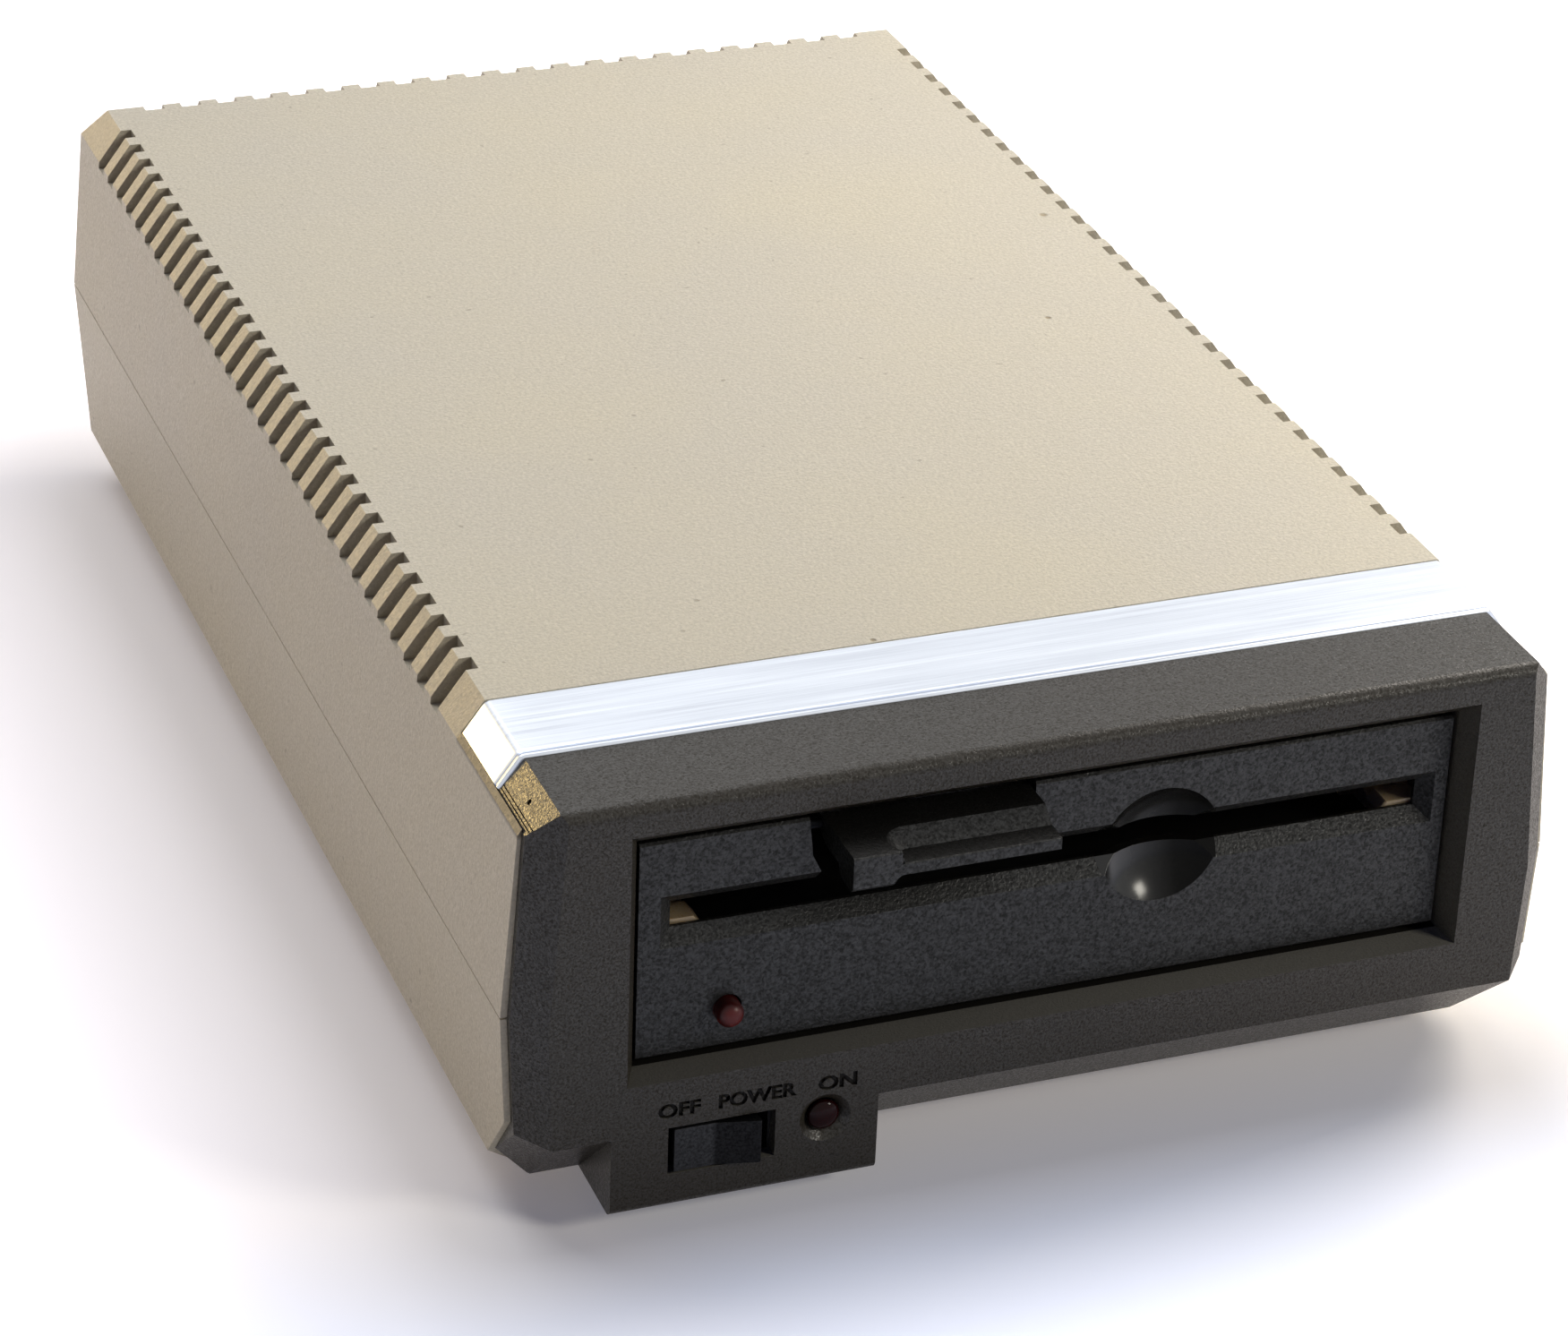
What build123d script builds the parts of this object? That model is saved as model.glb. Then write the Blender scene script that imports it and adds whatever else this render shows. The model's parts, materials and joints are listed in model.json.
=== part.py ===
from build123d import *
import math
import os

os.makedirs("parts", exist_ok=True)

# ---------------------------------------------------------------------------
# External 5.25 inch floppy disk drive.
# Drawn in the case frame: X to the right, Y to the back with 0 at the front
# rim of the two covers, Z up with 0 at the parting line between the covers.
# Every piece is moved once, at the end, onto the origin of the part.
# ---------------------------------------------------------------------------

# Standard envelope of the drive mechanism, and where it hangs in the case
drive_center_x = 1.05
drive_width = 146.1
drive_height = 41.3
drive_bottom = -11.5
drive_left = drive_center_x - drive_width / 2
drive_right = drive_center_x + drive_width / 2
drive_top = drive_bottom + drive_height

# What stands over the drive chassis, up to the lid
chassis_step = 1.4
chassis_top = drive_top - chassis_step
board_thickness = 1.6
chip_height = 4.0
lid_clearance = 3.6
cover_wall = 3.0

# Case outline seen from the front: half widths, and heights from the parting line
seam_half_width = 95.1
side_lean = 2.7
side_chamfer_width = 4.8
chamfer_height = 6.5
lower_side_lean = 1.3
lower_chamfer_width = 6.3
lower_chamfer_height = 6.9
lower_height = 39.5
upper_height = chassis_top + board_thickness + chip_height + lid_clearance + cover_wall
shoulder_half_width = seam_half_width - side_lean
top_half_width = shoulder_half_width - side_chamfer_width
shoulder_height = upper_height - chamfer_height
lower_shoulder_half_width = seam_half_width - lower_side_lean
bottom_half_width = lower_shoulder_half_width - lower_chamfer_width
lower_shoulder_depth = lower_height - lower_chamfer_height

# Case outline seen from the side
rear_seam_y = 302.8
rear_lean = 0.1
rear_chamfer_depth = 4.7
rear_lower_lean = 5.2
rear_lower_chamfer = 6.4
rear_shoulder_y = rear_seam_y - rear_lean
rear_top_y = rear_shoulder_y - rear_chamfer_depth
rear_lower_y = rear_seam_y - rear_lower_lean
rear_bottom_y = rear_lower_y - rear_lower_chamfer
rim_knee_z = 19.2 - lower_height
rim_slope = 0.837

# Cover walls
lap_wall = 1.2
rib_height = 2.2
front_zone = 32.8
seam_gap = 0.3
tongue_height = 2.4
tongue_wall = 1.3

# Cooling slots in the upper chamfers
slot_width = 4.1
slot_reach = 7.0
slot_drop = 1.3
slot_inner_x = shoulder_half_width - slot_reach
slot_low_z = shoulder_height - slot_drop
side_slot_pitch = 7.96
side_slot_count = 31
side_slot_first_y = 45.5
rear_slot_pitch = 7.79
rear_slot_count = 21
rear_slot_reach = 6.9
rear_slot_inner_y = rear_shoulder_y - rear_slot_reach

# Trim strip
strip_front_y = 13.3

# Bezel
bezel_face_y = -6.9
bezel_wall = 2.8
bezel_rim_y = -1.3
bevel_width = 4.9
front_knee_z = 16.6 - lower_height
bottom_bevel_slope = 1.066
top_edge_round = 2.2
recess_left = drive_left - 3.4
recess_right = drive_right + 2.1
recess_bottom = drive_bottom - 1.6
recess_top = drive_top + 4.6
recess_collar = 2.4

# Switch tab below the bezel face
tab_width = 47.3
tab_left = 17.1 - seam_half_width
tab_right = tab_left + tab_width
tab_bottom = 1.1 - lower_height
tab_round = 2.0
tab_wall = 2.6

# Power switch
window_width = 18.9
window_height = 9.25
window_left = tab_left + 10.0
window_right = window_left + window_width
window_bottom = tab_bottom + 6.8
window_top = window_bottom + window_height
rocker_width = 15.4
rocker_height = 8.3
rocker_pivot_x = window_left + 8.3
rocker_throw = 13.0
rocker_clearance = 0.4
switch_depth = 14.0

# Power lamp
power_led_x = tab_right - 9.5
power_led_z = tab_bottom + 12.6
power_led_radius = 2.45
countersink_radius = 4.6
countersink_depth = 1.8

# Drive mechanism front
faceplate_front_y = -1.8
faceplate_wall = 3.2
faceplate_depth = 6.2
faceplate_gap = 0.9
throat_height = 9.9
throat_left = drive_left + 3.5
throat_right = drive_right - 2.4
throat_bottom = drive_bottom + 20.9
throat_top = throat_bottom + throat_height
disk_z = (throat_bottom + throat_top) / 2
throat_bevel = 2.5
bowl_x = drive_center_x + 19.55
bowl_z = throat_bottom + 4.3
bowl_radius = 10.9
bowl_depth = 4.4
bowl_wall = 1.6
busy_led_x = drive_left + 15.6
busy_led_z = drive_bottom + 7.5
busy_led_radius = 2.4
busy_led_reach = 3.0

# Door lever
lever_width = 36.5
lever_right = drive_center_x - 4.95
lever_left = lever_right - lever_width
lever_axis_y = 0.4
lever_axis_z = drive_top - 2.4
lever_top_z = lever_axis_z + 1.55
lever_front_y = -14.8
lever_plate = 4.4
scoop_depth = 2.25
scoop_floor_z = lever_top_z - scoop_depth
scoop_back_y = lever_front_y + 7.6
foot_width = 7.2
foot_drop = 6.45
scoop_left = lever_left + foot_width
foot_bottom_z = lever_top_z - foot_drop
lever_shaft_radius = 0.9
cutout_left = lever_left - 2.8
cutout_right = lever_right + 0.7
shaft_clearance = 0.05

# Drive chassis
chassis_front_y = 4.6
chassis_back_y = 200.0
chassis_wall = 3.0
chassis_bottom = drive_bottom + 1.0
rail_width = 8.4
deck_z = throat_bottom - 6.4
deck_wall = 3.0
mount_hole_half_spacing = 69.85
mount_hole_front_y = 52.0
mount_hole_pitch = 79.2
guide_height = 3.2

# Spindle
spindle_y = 71.5
hub_radius = 16.5
hub_top_z = disk_z - 2.55
shaft_radius = 3.0
flywheel_radius = 36.0
flywheel_height = 4.6
flywheel_top_z = deck_z - 3.9
bearing_radius = 7.0
bearing_height = 2.6
boss_rise = 0.6
cone_radius = 14.6

# Motor and belt
motor_x = -48.0
motor_y = 171.0
motor_radius = 16.5
motor_height = 19.0
motor_pulley_radius = 8.0
motor_shaft_radius = 1.5
belt_thickness = 0.6
belt_width = 3.6
belt_clearance = 0.3

# Head carriage and stepper
rod_radius = 2.5
rod_spacing = 50.0
rod_z = deck_z + 2.6
rod_front_y = 102.0
rod_back_y = 169.0
track0_radius = 57.2
ear_length = 26.0
carriage_reach = 32.0
head_clearance = 2.35
deck_opening_half = 32.0
deck_opening_front_y = 108.0
deck_opening_back_y = 164.5
head_notch_half = 9.5
head_notch_reach = 7.2
track_travel = 20.6
capstan_radius = 8.0
stepper_y = 180.0
stepper_x = 13.0
stepper_radius = 19.0
stepper_height = 12.0

# Clamp arm
clamp_axis_y = 146.0
clamp_axis_z = disk_z + 9.65
clamp_half_width = 41.0
tongue_rise = 4.2
tongue_front_y = 9.0
drive_board_front_y = 108.0
cone_drop = 4.5

# Head arm hinge
arm_bottom_z = disk_z + 4.25
arm_top_z = arm_bottom_z + 2.4
arm_half_width = 5.0
arm_pin_radius = 0.8
arm_knuckle_radius = 1.9
arm_pin_z = arm_bottom_z + 0.6
cheek_wall = 1.6

# Main board behind the drive
main_board_z = 10.0 - lower_height
main_board_left = -62.0
main_board_right = 64.0
main_board_front_y = 168.0
main_board_back_y = rear_seam_y - 22.8
pillar_inset = 6.0

# Rear panel
socket_center_z = 22.5 - lower_height
socket_radius = 9.0
socket_flange = 1.6
socket_pin_radius = 0.58
socket_well = 7.5
socket_pitch = 34.0
io_socket_a_x = 37.1 - seam_half_width
io_socket_b_x = io_socket_a_x + socket_pitch
select_switch_x = io_socket_b_x + socket_pitch
jack_x = seam_half_width - 43.1
jack_bore_radius = 3.0

# Fasteners and feet
case_screw_x = seam_half_width - 13.6
case_screw_front_y = 62.0
case_screw_back_y = rear_seam_y - 34.8
boss_radius = 4.6
screw_shank_radius = 1.7
screw_hole_clearance = 0.05
screw_head_radius = 3.1
screw_head_height = 2.2
counterbore_radius = 3.5
case_screw_seat_z = 27.5 - lower_height
case_screw_reach = 10.0
drive_screw_seat = 5.0
drive_screw_reach = 5.5
foot_radius = 7.5
foot_height = 3.0
foot_front_x = seam_half_width - 41.1
foot_front_y = 46.0
foot_back_x = seam_half_width - 25.1
foot_back_y = rear_seam_y - 52.8

# Derived places
origin_y = (lever_front_y + rear_seam_y) / 2
to_origin = Location((0, -origin_y, lower_height + foot_height))
floor_z = -lower_height + cover_wall
ceiling_z = upper_height - cover_wall
far = 500.0


def block(x0, x1, y0, y1, z0, z1):
    """A box between two corners."""
    size = Box(x1 - x0, y1 - y0, z1 - z0)
    return Pos((x0 + x1) / 2, (y0 + y1) / 2, (z0 + z1) / 2) * size


def post(x, y, z0, z1, radius):
    """An upright cylinder."""
    return Pos(x, y, (z0 + z1) / 2) * Cylinder(radius, z1 - z0)


def rod_x(x0, x1, y, z, radius):
    """A cylinder that lies along X."""
    return Pos((x0 + x1) / 2, y, z) * Rot(0, 90, 0) * Cylinder(radius, x1 - x0)


def rod_y(x, y0, y1, z, radius):
    """A cylinder that lies along Y."""
    return Pos(x, (y0 + y1) / 2, z) * Rot(90, 0, 0) * Cylinder(radius, y1 - y0)


def turned(points, x, y):
    """A solid of revolution about the upright line through (x, y), from (radius, z) points."""
    profile = Plane.XZ * make_face(Polyline(*points, close=True))
    return Pos(x, y, 0) * revolve(profile, Axis.Z)


def turned_y(points, x, z):
    """A solid of revolution about the line along Y through (x, z), from (radius, y) points."""
    profile = Plane.XY * make_face(Polyline(*points, close=True))
    return Pos(x, 0, z) * revolve(profile, Axis.Y)


def front_profile(face, y0, y1):
    """A front-view face, drawn as (x, z), swept from y0 back to y1."""
    return Pos(0, y0, 0) * extrude(Plane.XZ * face, -(y1 - y0))


def side_profile(face, x0, x1):
    """A side-view face, drawn as (y, z), swept from x0 across to x1."""
    return Pos(x0, 0, 0) * extrude(Plane.YZ * face, x1 - x0)


def group(pieces):
    """Loose solids that share one node."""
    solids = []
    for piece in pieces:
        solids.extend(piece.solids())
    return Compound(solids)


def polygon(*points):
    """A plane face with straight sides."""
    return make_face(Polyline(*points, close=True))


def inset(face, amount):
    """The face drawn in by an even amount, its corners kept sharp."""
    if amount == 0:
        return face
    return offset(face, -amount, kind=Kind.INTERSECTION)


def planed(part, a, b, c, side):
    """The part cut by the plane through three points; keeps what lies with the point side."""
    normal = (Vector(*b) - Vector(*a)).cross(Vector(*c) - Vector(*a)).normalized()
    if normal.dot(Vector(*side) - Vector(*a)) < 0:
        normal = normal * -1
    return split(part, bisect_by=Plane(origin=a, z_dir=normal), keep=Keep.TOP)


def case_section():
    """The ten-sided section of the case, seen from the front."""
    return polygon(
        (-top_half_width, upper_height),
        (top_half_width, upper_height),
        (shoulder_half_width, shoulder_height),
        (seam_half_width, 0),
        (lower_shoulder_half_width, -lower_shoulder_depth),
        (bottom_half_width, -lower_height),
        (-bottom_half_width, -lower_height),
        (-lower_shoulder_half_width, -lower_shoulder_depth),
        (-seam_half_width, 0),
        (-shoulder_half_width, shoulder_height),
    )


def case_side():
    """The side view of the case, open-ended towards the front."""
    return polygon(
        (-far, upper_height),
        (rear_top_y, upper_height),
        (rear_shoulder_y, shoulder_height),
        (rear_seam_y, 0),
        (rear_lower_y, -lower_shoulder_depth),
        (rear_bottom_y, -lower_height),
        (-far, -lower_height),
    )


def case_form(amount):
    """The solid form of the case, drawn in by an even amount on every side but the front."""
    across = front_profile(inset(case_section(), amount), -far, far)
    along = side_profile(inset(case_side(), amount), -far, far)
    return across & along


def behind_rim():
    """Everything behind the front rim of the covers, which leans back below the knee."""
    low_z = -lower_height - 10
    profile = polygon(
        (0, far),
        (far, far),
        (far, low_z),
        ((rim_knee_z - low_z) * rim_slope, low_z),
        (0, rim_knee_z),
    )
    return side_profile(profile, -far, far)


def between_laps():
    """The space between the two thin side walls of the covers, seen from the front."""
    half = seam_half_width - lap_wall
    rise = (seam_half_width - shoulder_half_width) / shoulder_height
    drop = (seam_half_width - lower_shoulder_half_width) / lower_shoulder_depth
    reach = upper_height + lower_height
    profile = polygon(
        (-half + rise * reach, reach),
        (half - rise * reach, reach),
        (half, 0),
        (half - drop * reach, -reach),
        (-half + drop * reach, -reach),
        (-half, 0),
    )
    return front_profile(profile, -far, far)


def mirrored(part):
    """The part with its copy on the other side of the middle plane."""
    return part + mirror(part, about=Plane.YZ)


# ---------------------------------------------------------------------------
# Covers
# ---------------------------------------------------------------------------

outer = case_form(0)
inner = case_form(cover_wall)
lap_inner = case_form(lap_wall)
thick_zone = block(-far, far, front_zone, far, -far, far)
thin_zone = block(-far, far, -far, front_zone, -far, far)
shell = ((outer - inner) & thick_zone) + ((outer - lap_inner) & thin_zone & behind_rim())
tongue_ring = case_form(cover_wall - tongue_wall) - case_form(cover_wall)
tongue_zone = block(-far, far, front_zone + 1, far, -4, tongue_height)
groove_ring = case_form(cover_wall - tongue_wall - 0.1) - case_form(cover_wall + 1)
groove_zone = block(-far, far, front_zone - 1, far, -4, tongue_height)


def case_screw_places():
    """Where the four screws that join the covers stand."""
    places = []
    for x in (-case_screw_x, case_screw_x):
        for y in (case_screw_front_y, case_screw_back_y):
            places.append((x, y))
    return places


def drive_screw_places():
    """Where the four screws under the drive stand."""
    places = []
    for side in (-1, 1):
        for step in (0, 1):
            x = drive_center_x + side * mount_hole_half_spacing
            places.append((x, mount_hole_front_y + step * mount_hole_pitch))
    return places


def vent_cutters():
    """The cutters of the slots along the side and rear chamfers."""
    cutters = []
    for i in range(side_slot_count):
        y = side_slot_first_y + i * side_slot_pitch
        for side in (-1, 1):
            x0, x1 = sorted((side * slot_inner_x, side * far))
            cutters.append(block(x0, x1, y - slot_width / 2, y + slot_width / 2, slot_low_z, far))
    for i in range(rear_slot_count):
        x = (i - (rear_slot_count - 1) / 2) * rear_slot_pitch
        half = slot_width / 2
        cutters.append(block(x - half, x + half, rear_slot_inner_y, far, slot_low_z, far))
    return cutters


def make_top_cover():
    """The upper shell with its cooling slots, screw posts and stiffening ribs."""
    cover = shell & block(-far, far, -far, far, seam_gap / 2, far)
    cover -= groove_ring & groove_zone
    open_front = block(-far, far, -far, front_zone, 0, far) & between_laps()
    cover -= open_front
    for x, y in case_screw_places():
        cover += post(x, y, 0, ceiling_z + 1, boss_radius) & inner
    ribs = []
    rib_x = seam_half_width - 49.1
    rib_reach = seam_half_width - 21.1
    for x in (-rib_x, 0, rib_x):
        ribs.append(block(x - 1, x + 1, front_zone + 4, rear_top_y - 18, ceiling_z - rib_height, ceiling_z + 1))
    for y in (110, 190, case_screw_back_y - 6):
        ribs.append(block(-rib_reach, rib_reach, y - 1, y + 1, ceiling_z - rib_height, ceiling_z + 1))
    cover = cover + ribs
    pilots = []
    for x, y in case_screw_places():
        pilots.append(post(x, y, -1, case_screw_reach + 1, screw_shank_radius + screw_hole_clearance))
    return cover - (vent_cutters() + pilots)


def make_bottom_cover():
    """The lower shell with bosses, board pillars and the rear connector openings."""
    cover = shell & block(-far, far, -far, far, -far, -seam_gap / 2)
    cover += tongue_ring & tongue_zone
    pillars = []
    for x, y in case_screw_places():
        pillars.append(post(x, y, floor_z - 1, 0, boss_radius) & case_form(1))
    for x, y in drive_screw_places():
        pillars.append(post(x, y, floor_z - 1, chassis_bottom, boss_radius))
    for x, y in board_pillar_places():
        pillars.append(post(x, y, floor_z - 1, main_board_z, 3.0))
    cover = cover + pillars
    bores = []
    hole = screw_shank_radius + screw_hole_clearance
    for x, y in case_screw_places():
        bores.append(post(x, y, -far, case_screw_seat_z, counterbore_radius))
        bores.append(post(x, y, -far, 1, hole))
    for x, y in drive_screw_places():
        seat = chassis_bottom - drive_screw_seat
        bores.append(post(x, y, -far, seat, counterbore_radius))
        bores.append(post(x, y, -far, chassis_bottom + 1, hole))
    for x, y in board_pillar_places():
        bores.append(post(x, y, main_board_z - 5, main_board_z + 1, 1.05))
    rear = []
    rear_cut_y = rear_lower_y - 20
    for x in (io_socket_a_x, io_socket_b_x):
        rear.append(rod_y(x, rear_cut_y, far, socket_center_z, socket_radius + 0.2))
    for z in select_switch_heights():
        rear.append(block(select_switch_x - 5, select_switch_x + 5, rear_cut_y, far, z - 2.1, z + 2.1))
    rear.append(rod_y(jack_x, rear_cut_y, far, socket_center_z, jack_bore_radius + 2.2))
    return cover - (bores + rear)


def board_pillar_places():
    """Where the pillars under the main board stand."""
    left = main_board_left + pillar_inset
    right = main_board_right - pillar_inset
    front = main_board_front_y + pillar_inset + 2
    back = main_board_back_y - 2 * pillar_inset
    return [(left, front), (right, front), (left, back), (right, back)]


def select_switch_heights():
    """Heights of the two small slide switches, one above the other."""
    return [socket_center_z - 5.0, socket_center_z + 5.0]


def rear_inner_y(z):
    """Where the inner face of the lower rear wall stands at a height."""
    slope = (rear_seam_y - rear_lower_y) / lower_shoulder_depth
    return rear_seam_y + slope * z - cover_wall * math.sqrt(1 + slope * slope)


# ---------------------------------------------------------------------------
# Trim strip and bezel
# ---------------------------------------------------------------------------

def make_trim_strip():
    """The metal band that wraps over the top and both chamfers."""
    band = outer - lap_inner
    band = band & between_laps()
    return band & block(-far, far, strip_front_y, front_zone, shoulder_height, far)


def bezel_form(amount):
    """The outer form of the bezel, drawn in by an amount for its hollow."""
    z_top = upper_height - lap_wall - amount
    face_y = bezel_face_y + amount
    low_z = -lower_height + lap_wall + amount
    shift = amount * math.sqrt(1 + bottom_bevel_slope * bottom_bevel_slope)
    knee_z = front_knee_z + (shift - amount) / bottom_bevel_slope
    foot_y = face_y + (knee_z - low_z) * bottom_bevel_slope
    profile = polygon(
        (face_y, z_top),
        (front_zone + amount * 20, z_top),
        (front_zone + amount * 20, low_z),
        (foot_y, low_z),
        (face_y, knee_z),
    )
    radius = max(top_edge_round - amount, 0.4)
    corner = profile.vertices().sort_by(Axis.X)[0:2].sort_by(Axis.Y)[-1]
    profile = fillet(corner, radius)
    form = side_profile(profile, -far, far)
    form = form & front_profile(inset(case_section(), lap_wall + amount), -far, far)
    half = seam_half_width - lap_wall - bevel_width
    rise = (seam_half_width - shoulder_half_width) / shoulder_height
    drop = (seam_half_width - lower_shoulder_half_width) / lower_shoulder_depth
    rim = seam_half_width - lap_wall
    knee_rim_y = (rim_knee_z + 26) * rim_slope + bezel_rim_y * 1.3
    for side in (-1, 1):
        a = (side * (half - amount), bezel_face_y, 0)
        b = (side * (half - amount - rise * 40), bezel_face_y, 40)
        c = (side * (rim - amount), bezel_rim_y, 0)
        form = planed(form, a, b, c, (0, 0, 0))
        b = (side * (half - amount - drop * 40), bezel_face_y, -40)
        form = planed(form, a, b, c, (0, 0, 0))
        d = (side * (half - amount + front_knee_z * drop), bezel_face_y, front_knee_z)
        e_z = -lower_height + lap_wall
        e_y = bezel_face_y + (front_knee_z - e_z) * bottom_bevel_slope
        e = (side * (half - amount - 2.4), e_y, e_z)
        f = (side * (rim - amount - 26 * drop), knee_rim_y, -26)
        form = planed(form, d, e, f, (0, 20, 0))
    return form


def tab_form(amount):
    """The switch tab, which carries the face plane down below the bottom bevel."""
    y0 = bezel_face_y + amount
    z0 = tab_bottom + amount
    y1 = bezel_face_y + (front_knee_z - tab_bottom) * bottom_bevel_slope + amount * 3
    profile = polygon((y0, front_knee_z + 6), (y1 + 4, front_knee_z + 6), (y1, z0), (y0, z0))
    corner = profile.vertices().sort_by(Axis.Y)[0:2].sort_by(Axis.X)[0]
    profile = fillet(corner, max(tab_round - amount * 0.5, 0.4))
    return side_profile(profile, tab_left + amount, tab_right - amount)


def make_front_bezel():
    """The dark front moulding with its recess, lamp countersink and switch window."""
    hollow = bezel_form(bezel_wall)
    tab_solid = tab_form(0) & block(-far, far, -far, 12, -far, 0)
    body = bezel_form(0) + tab_solid
    y_back = faceplate_front_y
    collar = block(
        recess_left - recess_collar,
        recess_right + recess_collar,
        bezel_face_y + 1,
        y_back + 3.4,
        recess_bottom - recess_collar,
        min(recess_top + recess_collar, upper_height - lap_wall),
    )
    body = body - hollow
    body = body - tab_form(tab_wall)
    body = body + (collar & bezel_form(0))
    hole_left = drive_left - faceplate_gap
    hole_right = drive_right + faceplate_gap
    hole_bottom = drive_bottom - faceplate_gap
    hole_top = drive_top + faceplate_gap
    front_rect = Plane.XZ * polygon(
        (recess_left, recess_bottom),
        (recess_right, recess_bottom),
        (recess_right, recess_top),
        (recess_left, recess_top),
    )
    back_rect = Plane.XZ * polygon(
        (hole_left, hole_bottom),
        (hole_right, hole_bottom),
        (hole_right, hole_top),
        (hole_left, hole_top),
    )
    throat = loft([Pos(0, bezel_face_y, 0) * front_rect, Pos(0, y_back, 0) * back_rect])
    body = body - throat
    body = body - block(recess_left, recess_right, -20, bezel_face_y, recess_bottom, recess_top)
    body = body - block(hole_left, hole_right, y_back - 0.01, 20, hole_bottom, hole_top)
    body = body - block(window_left, window_right, -20, bezel_face_y + tab_wall + 1, window_bottom, window_top)
    cone = turned_y(
        [
            (0, bezel_face_y - 0.01),
            (countersink_radius, bezel_face_y - 0.01),
            (power_led_radius + 0.3, bezel_face_y + countersink_depth),
            (power_led_radius + 0.3, bezel_face_y + tab_wall + 3),
            (0, bezel_face_y + tab_wall + 3),
        ],
        power_led_x,
        power_led_z,
    )
    body = body - cone
    return body


def make_power_led():
    """A domed lamp with its flange behind the bezel face."""
    tip_y = bezel_face_y + 0.1
    back_y = bezel_face_y + tab_wall
    dome = Pos(power_led_x, tip_y + power_led_radius, power_led_z) * Sphere(power_led_radius)
    lamp = dome + rod_y(power_led_x, tip_y + power_led_radius, back_y + 2, power_led_z, power_led_radius)
    lamp += rod_y(power_led_x, back_y, back_y + 1.2, power_led_z, power_led_radius + 0.6)
    for side in (-1, 1):
        lamp += rod_y(power_led_x + side * 1.27, back_y + 1, back_y + 9, power_led_z, 0.3)
    return lamp


def make_power_rocker():
    """The rocker, two flat faces that meet at a shallow angle over the pivot."""
    half = rocker_width / 2
    face_y = bezel_face_y - 0.15
    lift = half * math.tan(math.radians(rocker_throw))
    pivot_y = bezel_face_y + 5.5
    plan = polygon(
        (rocker_pivot_x - half, face_y),
        (rocker_pivot_x, face_y),
        (rocker_pivot_x + half, face_y - lift),
        (rocker_pivot_x + half - 0.5, face_y + 3.4 - lift),
        (rocker_pivot_x + 3, pivot_y + 1.5),
        (rocker_pivot_x - 3, pivot_y + 1.5),
        (rocker_pivot_x - half + 0.5, face_y + 3.4),
    )
    mid_z = (window_bottom + window_top) / 2
    z0 = mid_z - rocker_height / 2
    paddle = Pos(0, 0, z0) * extrude(plan, rocker_height)
    paddle = fillet(paddle.edges().filter_by(Axis.Z).sort_by(Axis.Y)[0], 0.35)
    return paddle - post(rocker_pivot_x, pivot_y, -far, 0, 0.9 + shaft_clearance)


def make_switch_body():
    """The switch frame behind the window, with the rocker's pivot pin and three tags."""
    mid_z = (window_bottom + window_top) / 2
    y0 = bezel_face_y + tab_wall
    z0 = window_bottom - 0.9
    z1 = window_top + 0.9
    body = block(window_left - 1.2, window_right + 1.2, y0, y0 + switch_depth, z0, z1)
    well_half = rocker_height / 2 + rocker_clearance
    well = block(
        window_left + 0.4,
        window_right - 0.4,
        y0 - 1,
        y0 + 7.5,
        mid_z - well_half,
        mid_z + well_half,
    )
    body = body - well
    body += post(rocker_pivot_x, bezel_face_y + 5.5, mid_z - well_half - 0.3, mid_z + well_half + 0.3, 0.9)
    for step in (-1, 0, 1):
        x = (window_left + window_right) / 2 + step * 5.2
        body += block(x - 1.6, x + 1.6, y0 + switch_depth - 1, y0 + switch_depth + 6, mid_z - 0.4, mid_z + 0.4)
    return body


# ---------------------------------------------------------------------------
# Drive front: faceplate, lever, lamp
# ---------------------------------------------------------------------------

def throat_cutter():
    """The slot that takes the disk, with bevels on all four sides."""
    outer_rect = Plane.XZ * polygon(
        (throat_left, throat_bottom),
        (throat_right, throat_bottom),
        (throat_right, throat_top),
        (throat_left, throat_top),
    )
    inner_rect = Plane.XZ * polygon(
        (throat_left + throat_bevel, throat_bottom + throat_bevel),
        (throat_right - throat_bevel, throat_bottom + throat_bevel),
        (throat_right - throat_bevel, throat_top - throat_bevel),
        (throat_left + throat_bevel, throat_top - throat_bevel),
    )
    front = faceplate_front_y - 0.001
    funnel = loft([Pos(0, front, 0) * outer_rect, Pos(0, front + throat_bevel, 0) * inner_rect])
    straight = block(
        throat_left + throat_bevel,
        throat_right - throat_bevel,
        front + throat_bevel - 0.01,
        front + 30,
        throat_bottom + throat_bevel,
        throat_top - throat_bevel,
    )
    return funnel + straight


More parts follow.
